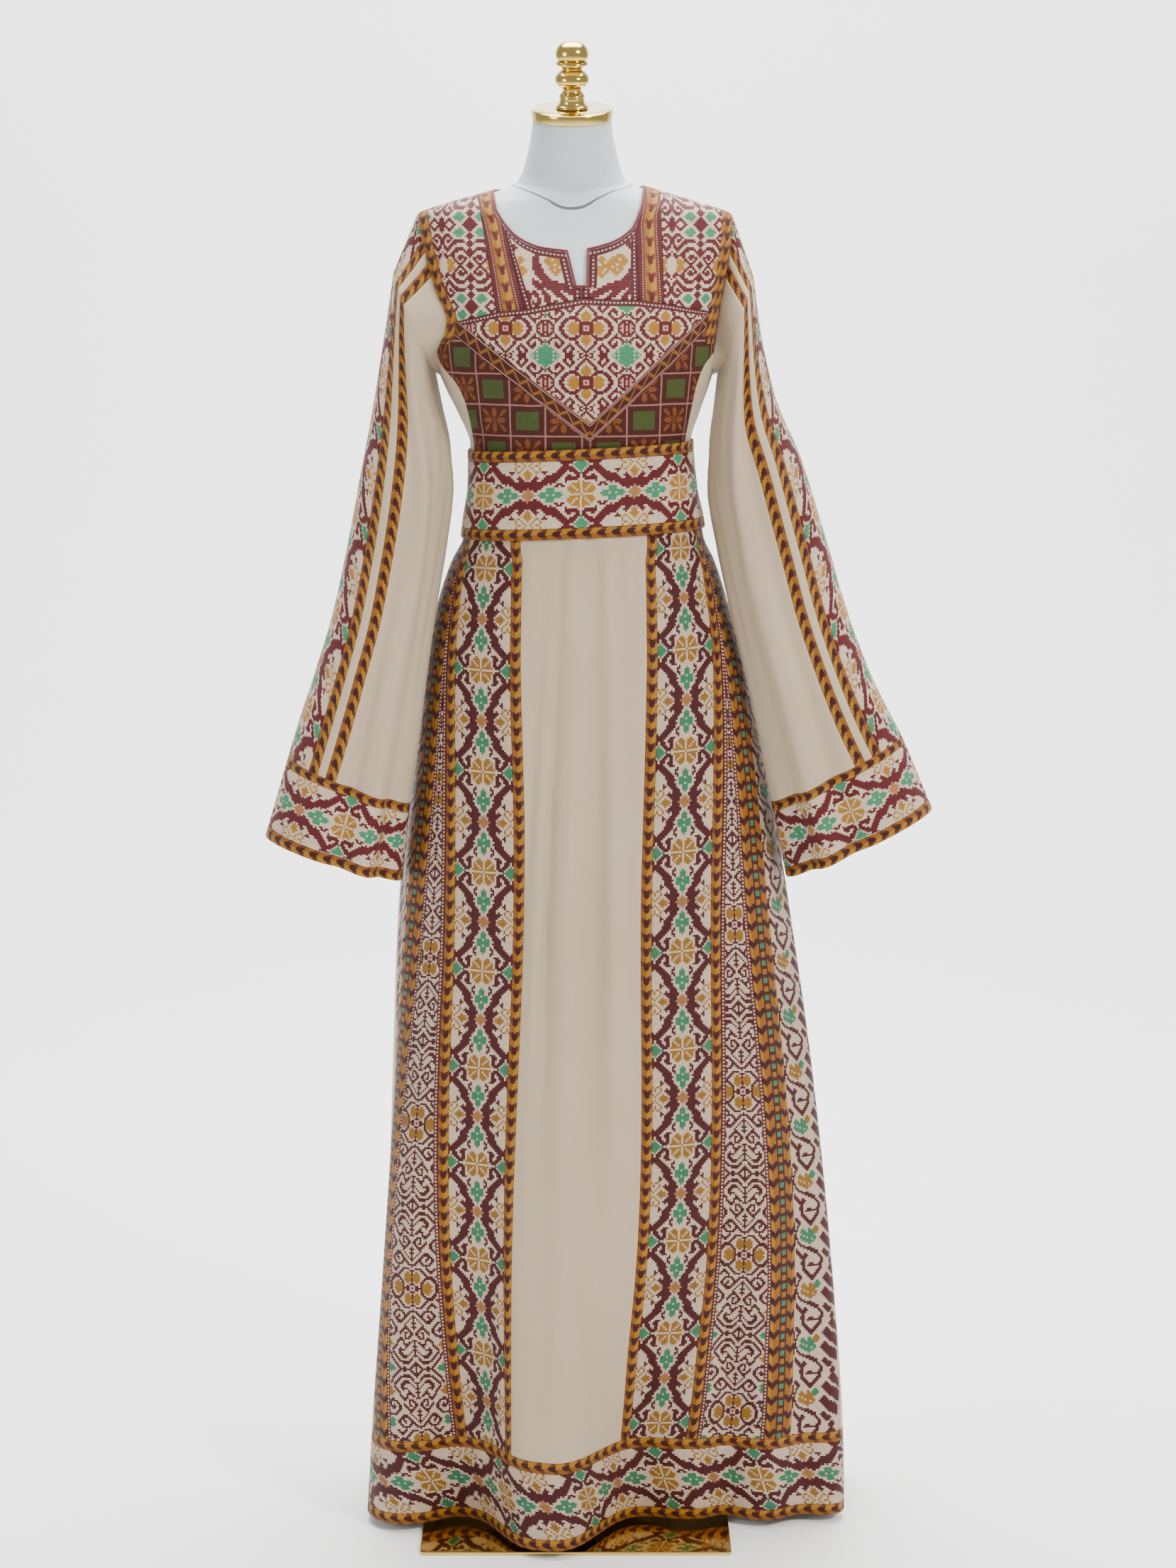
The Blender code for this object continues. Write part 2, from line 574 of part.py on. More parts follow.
def build_bodice_side(side, word):
    """The plain piece under the arm, from the bib's edge round to the back."""
    turn = -1.0 if side == 0 else 1.0
    low = BIB_EDGE[0][0]
    front = [(angle_on_body(x, z), z) for x, z in side_heights(side)]
    back = [(turn * SIDE_SEAM_ANGLE, z) for z in np.linspace(low, BACK_ARMHOLE[0][0], SIDE_ROWS + 1)]
    scale = 1.0 / 500.0
    edges = [[(angle * scale, z) for angle, z in line]
             for line in ([front[0], back[0]], underarm_line(side), front, back)]
    grid = filled(*edges, 8, SIDE_ROWS)
    if side == 0:
        grid = grid[:, ::-1]
    bodice_piece(f"bodice_side_{word}", grid, "cream cloth", lambda a, z: body_at_angle(a / scale, z))


def back_edge(side):
    """Outer edge of the bodice back: the side seam, then the armhole up to the ridge."""
    turn = -1.0 if side == 0 else 1.0
    low = BIB_EDGE[0][0]
    heights = np.linspace(low, BACK_ARMHOLE[0][0], SIDE_ROWS + 1)
    seam = [body_at_angle(turn * SIDE_SEAM_ANGLE, z)[[0, 2]] for z in heights]
    top_x = bib_x(side, 1.503)
    top = ridge_z(top_x)
    armhole = []
    for step in range(1, 10):
        z = BACK_ARMHOLE[0][0] + (top - BACK_ARMHOLE[0][0]) * easing(step / 9)
        armhole.append((turn * float(smooth(BACK_ARMHOLE, z)[0]), z))
    armhole[-1] = (top_x, top)
    return [tuple(point) for point in seam] + armhole


def back_neckline():
    """The back neckline from the left shoulder to the right one."""
    left, right = NECK_STRIPE_TOP[0][1], NECK_STRIPE_TOP[1][1]
    line = []
    for share in BACK_NECK_PLACES:
        x = left + (right - left) * share
        shoulder = ridge_z(left) + (ridge_z(right) - ridge_z(left)) * share
        dip = math.sin(math.pi * share) ** 0.6
        line.append((x, shoulder + (BACK_NECK_Z - shoulder) * dip - 0.0004 * dip))
    return line


def build_bodice_back():
    """The plain back of the bodice."""
    left, right = back_edge(0), back_edge(1)
    neck = back_neckline()
    upper = ridge_line(left[-1][0], neck[0][0], 3)[:-1] + neck + ridge_line(neck[-1][0], right[-1][0], 3)[1:]
    grid = filled([left[0], right[0]], upper, left, right, len(upper) - 1, SIDE_ROWS + 9)
    bodice_piece("bodice_back", grid, "cream cloth", lay_back)


def build_neck_binding():
    """The dark red binding round the neckline and down the slit."""
    left_x, right_x = NECK_STRIPE_TOP[0][1], NECK_STRIPE_TOP[1][1]
    front = rising_line(NECKLINE_LEFT[0], left_x, 3)[:0:-1] + list(NECKLINE_LEFT) + list(SLIT)
    front += list(NECKLINE_RIGHT) + rising_line(NECKLINE_RIGHT[-1], right_x, 3)[1:]
    path = [lay_front(x, z) for x, z in front]
    path += [lay_back(x, z) for x, z in back_neckline()[::-1][1:-1]]
    path = np.array(path)
    count = len(path)
    inner, outer = np.zeros((2, count + 1, 3)), np.zeros((2, count + 1, 3))
    for index in range(count + 1):
        here, before, after = path[index % count], path[index - 1 - (index == count)], path[(index + 1) % count]
        normal = body_normal(here)
        first, second = here - before, after - here
        tangent = first / np.linalg.norm(first) + second / np.linalg.norm(second)
        towards = np.cross(tangent, normal)
        towards /= np.linalg.norm(towards)
        widen = 1.0 / max(0.6, abs(float(np.dot(towards, np.cross(first, normal) / np.linalg.norm(first)))))
        for row, reach in enumerate((SEAM, BINDING_WIDTH)):
            inner[row, index] = here - towards * reach * widen
            outer[row, index] = inner[row, index] + normal * BINDING_WALL
    cloth_piece("neck_binding", inner, outer, "dark red binding", closed=True)


def closed_ring(points, zero):
    """Measure a closed flat outline: lengths from its zero place, its points and outward normals."""
    lengths = np.concatenate([[0.0], np.cumsum(np.linalg.norm(np.diff(points, axis=0), axis=1))])
    ahead = np.vstack([points[1:], points[1:2]])
    behind = np.vstack([points[-2:-1], points[:-1]])
    tangent = ahead - behind
    tangent /= np.linalg.norm(tangent, axis=1)[:, None]
    normals = np.stack([tangent[:, 1], -tangent[:, 0]], axis=1)
    start = np.interp(zero, np.arange(len(points)), lengths)
    return lengths - start, points, normals


def on_ring(ring, distance):
    """Point and outward normal of a ring at a distance round it, going round past its ends."""
    lengths, points, normals = ring
    total = lengths[-1] - lengths[0]
    place = lengths[0] + (distance - lengths[0]) % total
    point = np.array([np.interp(place, lengths, points[:, axis]) for axis in range(2)])
    normal = np.array([np.interp(place, lengths, normals[:, axis]) for axis in range(2)])
    return point, normal / np.linalg.norm(normal)


def skirt_ring(z):
    """The skirt's outline at a height, measured from the middle of the front, right is positive."""
    middle, half, front, back, power, front_x = smooth(SKIRT, z)
    angle = np.linspace(-math.pi, math.pi, RING_POINTS + 1)
    s, c = np.sin(angle), np.cos(angle)
    x = middle + half * np.sign(s) * np.abs(s) ** (2 / power)
    y = np.where(c > 0, -front, back) * np.abs(c) ** (2 / power)
    facing = np.abs(angle) < math.pi / 2
    index = np.arange(RING_POINTS + 1)
    zero = np.interp(front_x, x[facing], index[facing])
    lengths, points, normals = closed_ring(np.stack([x, y], axis=1), zero)
    turn = lengths / ((lengths[-1] - lengths[0]) / 2)
    raised = np.zeros(len(turn))
    for place, width, sharpness, depth, begins in SKIRT_FOLDS:
        grown = max(0.0, (begins - z) / begins) ** 1.35
        away = np.abs((turn - place + 1.0) % 2.0 - 1.0)
        raised += depth * grown * np.exp(-((away / width) ** sharpness))
    belt_edge = BELT_Z - 0.008
    for place, width, depth, reach in GATHERS:
        fade = max(0.0, min(1.0, (belt_edge - z) / 0.015)) * max(0.0, 1.0 - (belt_edge - z) / reach)
        raised += depth * fade * np.exp(-(((lengths - place) / width) ** 2))
    return closed_ring(points + normals * raised[:, None], zero)


def skirt_edges(z):
    """Distances of the front pieces' edges from the middle of the front, at a height."""
    heights = WIDTH_HEIGHTS[::-1]
    edges = [float(np.interp(z, heights, CENTRE_HALF[::-1]))]
    for _, widths, _ in SKIRT_PIECES:
        edges.append(edges[-1] + float(np.interp(z, heights, widths[::-1])))
    return edges


def tube_rows(rings, heights, places):
    """Inner and outer grids of a piece on the rings: one row for each height, with its distances."""
    inner = np.zeros((len(rings), len(places[0]), 3))
    outer = np.zeros_like(inner)
    for row, (ring, z) in enumerate(zip(rings, heights)):
        for column, distance in enumerate(places[row]):
            point, normal = on_ring(ring, distance)
            inner[row, column] = (*point, z)
            outer[row, column] = (*(point + normal * WALL), z)
    return inner, outer


def evenly(starts, ends, columns, seam=SEAM / 2):
    """Distances of a piece's columns in each row, between two lines and half a seam off both."""
    return [np.linspace(start + seam, end - seam, columns + 1) for start, end in zip(starts, ends)]


def build_skirt():
    """The gathered skirt's panels, from under the belt to the hem band."""
    rings = [skirt_ring(z) for z in SKIRT_ROWS]
    edges = [skirt_edges(z) for z in SKIRT_ROWS]
    half = [row[0] for row in edges]
    inner, outer = tube_rows(rings, SKIRT_ROWS, evenly([-h for h in half], half, CENTRE_COLUMNS))
    cloth_piece("skirt_centre", inner, outer, "cream cloth")
    stuffs = ("gold stripe", "red embroidery", "gold stripe", "lace embroidery", "gold stripe", "lace embroidery")
    for order, ((name, _, columns), stuff) in enumerate(zip(SKIRT_PIECES, stuffs)):
        near, far = [row[order] for row in edges], [row[order + 1] for row in edges]
        inner, outer = tube_rows(rings, SKIRT_ROWS, evenly(near, far, columns))
        cloth_piece(f"skirt_{name}_right", inner, outer, stuff)
        inner, outer = tube_rows(rings, SKIRT_ROWS, evenly([-d for d in far], [-d for d in near], columns))
        cloth_piece(f"skirt_{name}_left", inner, outer, stuff)
    starts = [row[-1] for row in edges]
    ends = [ring[0][-1] - ring[0][0] - row[-1] for ring, row in zip(rings, edges)]
    inner, outer = tube_rows(rings, SKIRT_ROWS, evenly(starts, ends, BACK_COLUMNS, 1.5 * SEAM))
    cloth_piece("skirt_back", inner, outer, "cream cloth")


def hem_places(ring, z):
    """Distances of the hem's columns, each at a column of the skirt above, from the left back seam."""
    edges = skirt_edges(z)
    total = ring[0][-1] - ring[0][0]
    right = list(np.linspace(0.0, edges[0], CENTRE_COLUMNS // 2 + 1))
    for (_, _, columns), near, far in zip(SKIRT_PIECES, edges, edges[1:]):
        right += list(np.linspace(near, far, columns + 1))[1:]
    left = [-distance for distance in right[:0:-1]]
    back = list(np.linspace(edges[-1], total - edges[-1], BACK_COLUMNS + 1))[1:]
    return left + right + back


def build_hem():
    """The embroidered hem band between its two gold borders, all round."""
    bottom, low_top, high_bottom, top = HEM
    rows = (
        ("hem_border_lower", (bottom, low_top), "gold stripe"),
        ("hem_band", (low_top + SEAM, high_bottom - SEAM), "red embroidery"),
        ("hem_border_upper", (high_bottom, top), "gold stripe"),
    )
    for name, heights, stuff in rows:
        rings = [skirt_ring(z) for z in heights]
        places = [hem_places(ring, z) for ring, z in zip(rings, heights)]
        inner, outer = tube_rows(rings, heights, places)
        cloth_piece(name, inner, outer, stuff, closed=True)


def build_belt():
    """The sash belt: an embroidered band between two gold borders, round the waist."""
    stripe = STRIPE / BELT_HEIGHT
    seam = SEAM / BELT_HEIGHT
    rows = (
        ("belt_border_lower", (0.0, stripe), "gold stripe"),
        ("belt_band", (stripe + seam, 0.5, 1.0 - stripe - seam), "red embroidery"),
        ("belt_border_upper", (1.0 - stripe, 1.0), "gold stripe"),
    )
    columns = 44
    for name, shares, stuff in rows:
        inner = np.zeros((len(shares), columns + 1, 3))
        outer = np.zeros_like(inner)
        for row, share in enumerate(shares):
            for column in range(columns + 1):
                degrees = -180.0 + 360.0 * column / columns
                flat = BELT_Z + BELT_HEIGHT * share
                x = body_at_angle(degrees, flat)[0]
                point = body_at_angle(degrees, flat + BELT_SLOPE * x)
                normal = body_normal(point) * (1, 1, 0)
                normal /= np.linalg.norm(normal)
                inner[row, column] = point + normal * BELT_OFF
                outer[row, column] = point + normal * (BELT_OFF + BELT_WALL)
        cloth_piece(name, inner, outer, stuff, closed=True)


def armhole_line(side):
    """The armhole's edge on the body: from the ridge down the front, under the arm and up the back,
    and the number of its lowest point."""
    front = [lay_front(x, z) for x, z in bib_line(side, 0.0, CHEST_SEAM_END[side])[::-1]]
    front += [lay_front(bib_x(side, z), z) for z in (V_BORDER_END[side], BORDER_END_Z)]
    under = [body_at_angle(angle, z) for angle, z in underarm_line(side)]
    back = [lay_back(x, z) for x, z in back_edge(side)[SIDE_ROWS + 1:]]
    return np.array(front + under + back[:-1]), len(front) + 4


def sleeve_ring(table, place):
    """A sleeve's section: its flat ring, its centre and the two directions the ring lies in."""
    in_x, in_z, out_x, out_z, middle_y, depth = smooth(table, place)
    centre = np.array([(in_x + out_x) / 2, middle_y, (in_z + out_z) / 2])
    reach = np.array([(out_x - in_x) / 2, 0.0, (out_z - in_z) / 2])
    half = np.linalg.norm(reach)
    angle = np.linspace(-math.pi, math.pi, RING_POINTS + 1)
    points = np.stack([half * np.cos(angle), depth * np.sin(angle)], axis=1)
    lengths, points, normals = closed_ring(points, RING_POINTS / 2)
    share = lengths / (lengths[-1] - lengths[0])
    raised = np.zeros(len(share))
    for fold_place, width, fold_depth, begins in SLEEVE_FOLDS:
        grown = max(0.0, min(1.0, (place - begins) / (9.0 - begins)))
        away = np.abs((share - fold_place + 0.5) % 1.0 - 0.5)
        raised += fold_depth * grown * np.exp(-((away / width) ** 2))
    ring = closed_ring(points + normals * raised[:, None], RING_POINTS / 2)
    return ring, centre, reach / half, np.array([0.0, -1.0, 0.0])


def armhole_walls(side):
    """The sleeve head's inner and outer line just inside the armhole, as a function of the share of a
    turn from the top, positive to the front."""
    line, bottom = armhole_line(side)
    count = len(line)
    closed = np.vstack([line, line[:1]])
    lengths = np.concatenate([[0.0], np.cumsum(np.linalg.norm(np.diff(closed, axis=0), axis=1))])
    down, total = lengths[bottom], lengths[-1]
    shares = np.where(lengths <= down, 0.5 * lengths / down, 0.5 + 0.5 * (lengths - down) / (total - down))
    ring, middle, out, forward = sleeve_ring(SLEEVE_LEFT if side == 0 else SLEEVE_RIGHT, 1.0)
    round_ring = ring[0][-1] - ring[0][0]
    centre = line.mean(axis=0)
    inner, outer = np.zeros_like(closed), np.zeros_like(closed)
    for index in range(count):
        normal = body_normal(line[index])
        tangent = line[(index + 1) % count] - line[index - 1]
        into = np.cross(tangent, normal)
        into /= np.linalg.norm(into)
        if np.dot(into, centre - line[index]) < 0:
            into = -into
        point, outward = on_ring(ring, shares[index] * round_ring)
        away = middle + out * point[0] + forward * point[1] - line[index]
        away /= np.linalg.norm(away)
        across = out * outward[0] + forward * outward[1]
        across = across - away * np.dot(across, away)
        across /= np.linalg.norm(across)
        inside = min(1.0, max(0.0, 0.5 - np.dot(across, into) / 0.6))
        start = line[index] + into * SEAM
        inner[index] = start - across * WALL * inside
        outer[index] = start + across * WALL * (1.0 - inside)
    inner[-1], outer[-1] = inner[0], outer[0]

    fold = shares[bottom - 4]

    def walls(share):
        place = share % 1.0
        if abs(place - fold) < FOLD_REACH:
            place = fold
        return [np.array([np.interp(place, shares, line[:, axis]) for axis in range(3)])
                for line in (inner, outer)]

    return walls


def sleeve_point(side, place, distance, walls):
    """Inner and outer point of a sleeve at a place down it and a distance round it."""
    table = SLEEVE_LEFT if side == 0 else SLEEVE_RIGHT
    ring, centre, out, forward = sleeve_ring(table, max(place, 1.0))
    point, normal = on_ring(ring, distance)
    inner = centre + out * point[0] + forward * point[1]
    outer = inner + (out * normal[0] + forward * normal[1]) * WALL
    if place < 1.0:
        total = ring[0][-1] - ring[0][0]
        head_inner, head_outer = walls(distance / total)
        inner = head_inner + (inner - head_inner) * place
        outer = head_outer + (outer - head_outer) * place
    return inner, outer


def sleeve_length(side, place):
    """Length round a sleeve's section."""
    table = SLEEVE_LEFT if side == 0 else SLEEVE_RIGHT
    lengths = sleeve_ring(table, max(place, 1.0))[0][0]
    return lengths[-1] - lengths[0]


def sleeve_grids(side, places, starts, ends, columns, walls, seam=SEAM / 2):
    """Inner and outer grids of a sleeve's piece between two lines that run down it."""
    inner = np.zeros((len(places), columns + 1, 3))
    outer = np.zeros_like(inner)
    for row, place in enumerate(places):
        for column in range(columns + 1):
            low, high = starts[row] + seam, ends[row] - seam
            distance = low + (high - low) * column / columns
            inner[row, column], outer[row, column] = sleeve_point(side, place, distance, walls)
    return inner, outer


def build_sleeve(side, word):
    """A bell sleeve: its band, two stripes, the plain strip between them, its cloth and its cuff."""
    walls = armhole_walls(side)
    front = [float(smooth(SLEEVE_BAND_FRONT, place)[0]) for place in SLEEVE_ROWS]
    back = [distance - SLEEVE_BAND_WIDTH for distance in front]
    total = [sleeve_length(side, place) for place in SLEEVE_ROWS]
    first = [distance + STRIPE for distance in front]
    gap = [distance + SLEEVE_PLAIN_GAP for distance in first]
    second = [distance + STRIPE for distance in gap]
    rest = [length + distance for length, distance in zip(total, back)]
    pieces = (
        ("band", back, front, 4, "red embroidery"),
        ("outer_stripe", front, first, 1, "gold stripe"),
        ("plain_strip", first, gap, 1, "cream cloth"),
        ("inner_stripe", gap, second, 1, "gold stripe"),
        ("cloth", second, rest, 16, "cream cloth"),
    )
    for name, starts, ends, columns, stuff in pieces:
        inner, outer = sleeve_grids(side, SLEEVE_ROWS, starts, ends, columns, walls)
        cloth_piece(f"sleeve_{name}_{word}", inner, outer, stuff)
    cuffs = (
        ("cuff_border_upper", CUFF_ROWS[0:2], "gold stripe"),
        ("cuff_band", CUFF_ROWS[2:4], "red embroidery"),
        ("cuff_border_lower", CUFF_ROWS[4:6], "gold stripe"),
    )
    for name, places, stuff in cuffs:
        lengths = [sleeve_length(side, place) for place in places]
        starts = [-length / 2 for length in lengths]
        ends = [length / 2 for length in lengths]
        inner, outer = sleeve_grids(side, places, starts, ends, CUFF_COLUMNS, walls, seam=0.0)
        cloth_piece(f"{name}_{word}", inner, outer, stuff, closed=True)


def add_ring(shape, points):
    """Add a closed ring of edges through points and return them."""
    verts = [shape.verts.new(point) for point in points]
    return [shape.edges.new((verts[i], verts[(i + 1) % len(verts)])) for i in range(len(verts))]


def build_form():
    """The limbless dress form, lofted through its sections, with a neck that leans forward."""
    sections = [tuple(row) for row in FORM_LOWER]
    for z in (1.110, 1.204, 1.250, 1.287, 1.320, 1.350, 1.380, 1.410, 1.440, 1.468, 1.488,
              1.501, 1.511, 1.520, 1.5285, 1.535, 1.541):
        middle, half, front, back = smooth(BODY, z)
        inset = float(smooth(FORM_INSET, z)[0])
        drop = float(smooth(FORM_DROP, z)[0])
        sections.append((z - drop, middle, half - inset, front - inset, back - inset))
    shape = bmesh.new()
    rings = []
    angles = np.linspace(0.0, 2 * math.pi, FORM_SIDES, endpoint=False)
    power = 2.0 / BODY_POWER
    for z, middle, half, front, back in sections:
        tilt = math.radians(float(np.interp(z, (1.518, 1.541), (0.0, 9.0))))
        points = []
        for angle in angles:
            s, c = math.sin(angle), math.cos(angle)
            x = middle + half * math.copysign(abs(s) ** power, s)
            y = (-front if c > 0 else back) * abs(c) ** power
            points.append((x, y, z + min(y, 0.0) * math.tan(tilt)))
        rings.append(add_ring(shape, points))
    for z, middle_y, half, depth, degrees in NECK:
        slope = math.tan(math.radians(degrees))
        points = []
        for angle in angles:
            x, y = half * math.sin(angle), -depth * math.cos(angle)
            points.append((NECK_MIDDLE + x, middle_y + y, z + y * slope))
        rings.append(add_ring(shape, points))
    for below, above in zip(rings, rings[1:]):
        bmesh.ops.bridge_loops(shape, edges=below + above)
    bmesh.ops.holes_fill(shape, edges=rings[0] + rings[-1], sides=FORM_SIDES)
    add_object("form_torso", shape, "white form cover", sharp=60.0)


def turned(name, profile, stuff, location, tilt=0.0):
    """A turned piece: a profile of radius and height, spun about its own axis."""
    shape = bmesh.new()
    verts = [shape.verts.new((radius, 0.0, height)) for radius, height in profile]
    edges = [shape.edges.new(pair) for pair in zip(verts, verts[1:])]
    bmesh.ops.spin(shape, geom=verts + edges, cent=(0, 0, 0), axis=(0, 0, 1), angle=2 * math.pi,
                   steps=TURNED_SIDES, use_merge=True)
    bmesh.ops.remove_doubles(shape, verts=shape.verts, dist=1e-5)
    thing = add_object(name, shape, stuff, sharp=35.0)
    thing.location = location
    thing.rotation_euler = (tilt, 0.0, 0.0)
    return thing


def build_stand():
    """Base plate, flange and pole under the form, and the brass cap and finial on its neck."""
    width, depth, height = PLATE
    shape = bmesh.new()
    bmesh.ops.create_cube(shape, size=1.0)
    bmesh.ops.scale(shape, vec=(width, depth, height), verts=shape.verts)
    bmesh.ops.translate(shape, vec=(0.0, 0.0, height / 2), verts=shape.verts)
    corners = [edge for edge in shape.edges if abs(edge.verts[0].co.z - edge.verts[1].co.z) > height / 2]
    bmesh.ops.bevel(shape, geom=corners, offset=0.004, segments=3, affect="EDGES", profile=0.5)
    add_object("base_plate", shape, "polished brass")

    flange_bottom = height + SEAM
    flange = ((0.0, 0.0), (FLANGE_RADIUS, 0.0), (FLANGE_RADIUS, FLANGE_HEIGHT - 0.002),
              (FLANGE_RADIUS - 0.003, FLANGE_HEIGHT), (0.0, FLANGE_HEIGHT))
    turned("pole_flange", flange, "polished brass", (POLE_X, 0.0, flange_bottom))

    pole_bottom = flange_bottom + FLANGE_HEIGHT + SEAM
    pole_length = FORM_LOWER[0][0] - SEAM - pole_bottom
    pole = ((0.0, 0.0), (POLE_RADIUS, 0.0), (POLE_RADIUS, pole_length), (0.0, pole_length))
    turned("pole", pole, "polished brass", (POLE_X, 0.0, pole_bottom))

    neck_z, neck_y = NECK[-1][0], NECK[-1][1]
    turned("neck_cap", CAP, "polished brass", (NECK_MIDDLE, neck_y, neck_z), NECK_TILT)
    turned("finial", FINIAL, "polished brass", (NECK_MIDDLE, neck_y, neck_z), NECK_TILT)


def main():
    """Build the whole object."""
    for thing in list(bpy.data.objects):
        bpy.data.objects.remove(thing, do_unlink=True)
    build_stand()
    build_form()
    build_v_yoke()
    for side, word in enumerate(("left", "right")):
        build_bib(side, word)
        build_bodice_side(side, word)
        build_sleeve(side, word)
    build_bodice_back()
    build_neck_binding()
    build_belt()
    build_skirt()
    build_hem()


main()
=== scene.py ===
"""Scene of an embroidered thobe with its sash belt, worn by a limbless dress form on a brass stand.

Metres, +Z up, the front faces -Y. Left (-X) and right (+X) are as seen from the front. Every sewn piece is
a thin shell of cloth on the place of its solid: the bodice lies on the body's sections, and the skirt, hem,
sleeves, cuffs and belt lie on closed sections that are measured along their length. Patterns are counted
cross-stitch charts, read in metres from each piece's own map.
"""

from __future__ import annotations

import logging
import math
from dataclasses import dataclass, field
from enum import Enum
from typing import Callable, Sequence

import bpy
import numpy as np
from mathutils import Matrix


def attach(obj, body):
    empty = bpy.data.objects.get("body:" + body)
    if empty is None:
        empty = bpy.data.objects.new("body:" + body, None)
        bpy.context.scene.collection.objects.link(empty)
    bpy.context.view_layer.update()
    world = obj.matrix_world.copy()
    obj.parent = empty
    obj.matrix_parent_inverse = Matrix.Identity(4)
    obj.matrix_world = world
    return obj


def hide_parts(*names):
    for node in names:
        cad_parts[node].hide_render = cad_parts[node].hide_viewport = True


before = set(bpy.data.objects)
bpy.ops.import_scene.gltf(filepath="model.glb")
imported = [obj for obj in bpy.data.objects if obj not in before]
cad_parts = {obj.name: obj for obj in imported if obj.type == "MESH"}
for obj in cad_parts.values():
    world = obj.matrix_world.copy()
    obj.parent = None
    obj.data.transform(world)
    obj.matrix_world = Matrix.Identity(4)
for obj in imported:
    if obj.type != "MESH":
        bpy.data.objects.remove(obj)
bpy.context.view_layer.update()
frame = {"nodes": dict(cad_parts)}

log = logging.getLogger("thobe")

Points = np.ndarray
Table = Sequence[Sequence[float]]
Line = list[tuple[float, float]]
Thing = bpy.types.Object
Cloth = bpy.types.Material

WALL = 0.0012
SEAM = 0.0003
CELL = 0.005
EDGE = 0.0012
RING_POINTS = 960
STRIPE = 0.012
PATTERN_MAP = "Stitch"
EDGE_MAP = "Edge"
BAKE_MAP = "OFBake"
# The Mix node's inputs between its factor and its colours, and its settings for colours.
SKIPPED = (None,) * 5
COLOURS = {"out": 2, "data_type": "RGBA"}
# Where a shell's right side, wrong side and rims lie in the bake map: scale, then start.
RIGHT_SIDE_BAKE = ((0.996, 0.826), (0.002, 0.172))
WRONG_SIDE_BAKE = ((0.996, 0.146), (0.002, 0.002))
RIM_BAKE = (0.1505, 0.005, 0.004)
ROUNDING = 0.4


# ---------------------------------------------------------------- measuring and shaping


def smooth(table: Table, places: float | Points) -> Points:
    """Read a table on a curve through its rows that never overshoots.

    Args:
        table: rows of a key and its values, keys rising.
        places: one key or an array of keys.

    Returns:
        The values at each place.
    """
    rows = np.array(table, dtype=float)
    keys, values = rows[:, 0], rows[:, 1:]
    steps = np.diff(keys)[:, None]
    slopes = np.diff(values, axis=0) / steps
    before, after = slopes[:-1], slopes[1:]
    total = np.where(before * after > 0, before + after, 1.0)
    inner = np.where(before * after > 0, 2 * before * after / total, 0.0)
    tangents = np.vstack([slopes[:1], inner, slopes[-1:]])
    places = np.clip(np.asarray(places, dtype=float), keys[0], keys[-1])
    index = np.clip(np.searchsorted(keys, places, side="right") - 1, 0, len(keys) - 2)
    step = steps[index]
    t = (places - keys[index])[..., None] / step
    return (
        (2 * t**3 - 3 * t**2 + 1) * values[index]
        + (t**3 - 2 * t**2 + t) * tangents[index] * step
        + (3 * t**2 - 2 * t**3) * values[index + 1]
        + (t**3 - t**2) * tangents[index + 1] * step
    )


def along(points: Line | Points, shares: float | Points) -> Points:
    """Points of an open line at shares of it, where each of its stretches counts the same."""
    points = np.array(points, dtype=float)
    place = np.clip(np.asarray(shares, dtype=float), 0.0, 1.0) * (len(points) - 1)
    index = np.minimum(place.astype(int), len(points) - 2)
    part = (place - index)[..., None]
    return points[index] + (points[index + 1] - points[index]) * part


def rounded(points: Line, steps: int = 6) -> Line:
    """A finer line through points, curved at each of them, with the same stretches.

    Args:
        points: flat points of the line.
        steps: finer stretches in each stretch.

    Returns:
        The points of the finer line.
    """
    known = np.array(points, dtype=float)
    padded = np.vstack([2 * known[0] - known[1], known, 2 * known[-1] - known[-2]])
    line = []
    for index in range(len(known) - 1):
        before, here, there, after = padded[index:index + 4]
        for step in range(steps):
            t = step / steps
            point = 0.5 * (2 * here + (there - before) * t
                           + (2 * before - 5 * here + 4 * there - after) * t**2
                           + (3 * here - before - 3 * there + after) * t**3)
            line.append(tuple(point))
    return line + [tuple(known[-1])]


def shares_of(length: float) -> Points:
    """Shares of a length that cut it into cells, with one more close to each end for the rounded edge."""
    count = max(1, round(length / CELL))
    inner = np.linspace(0.0, 1.0, count + 1)
    near = min(0.2, EDGE / length)
    return np.unique(np.concatenate([inner[(inner > 1.6 * near) & (inner < 1 - 1.6 * near)],
                                     [0.0, near, 1 - near, 1.0]]))


def row_lengths(grid: Points, axis: int) -> Points:
    """Lengths from the first point, along each row (axis 1) or each column (axis 0) of a grid."""
    steps = np.linalg.norm(np.diff(grid, axis=axis), axis=2)
    pad = [(0, 0), (0, 0)]
    pad[axis] = (1, 0)
    return np.pad(np.cumsum(steps, axis=axis), pad)


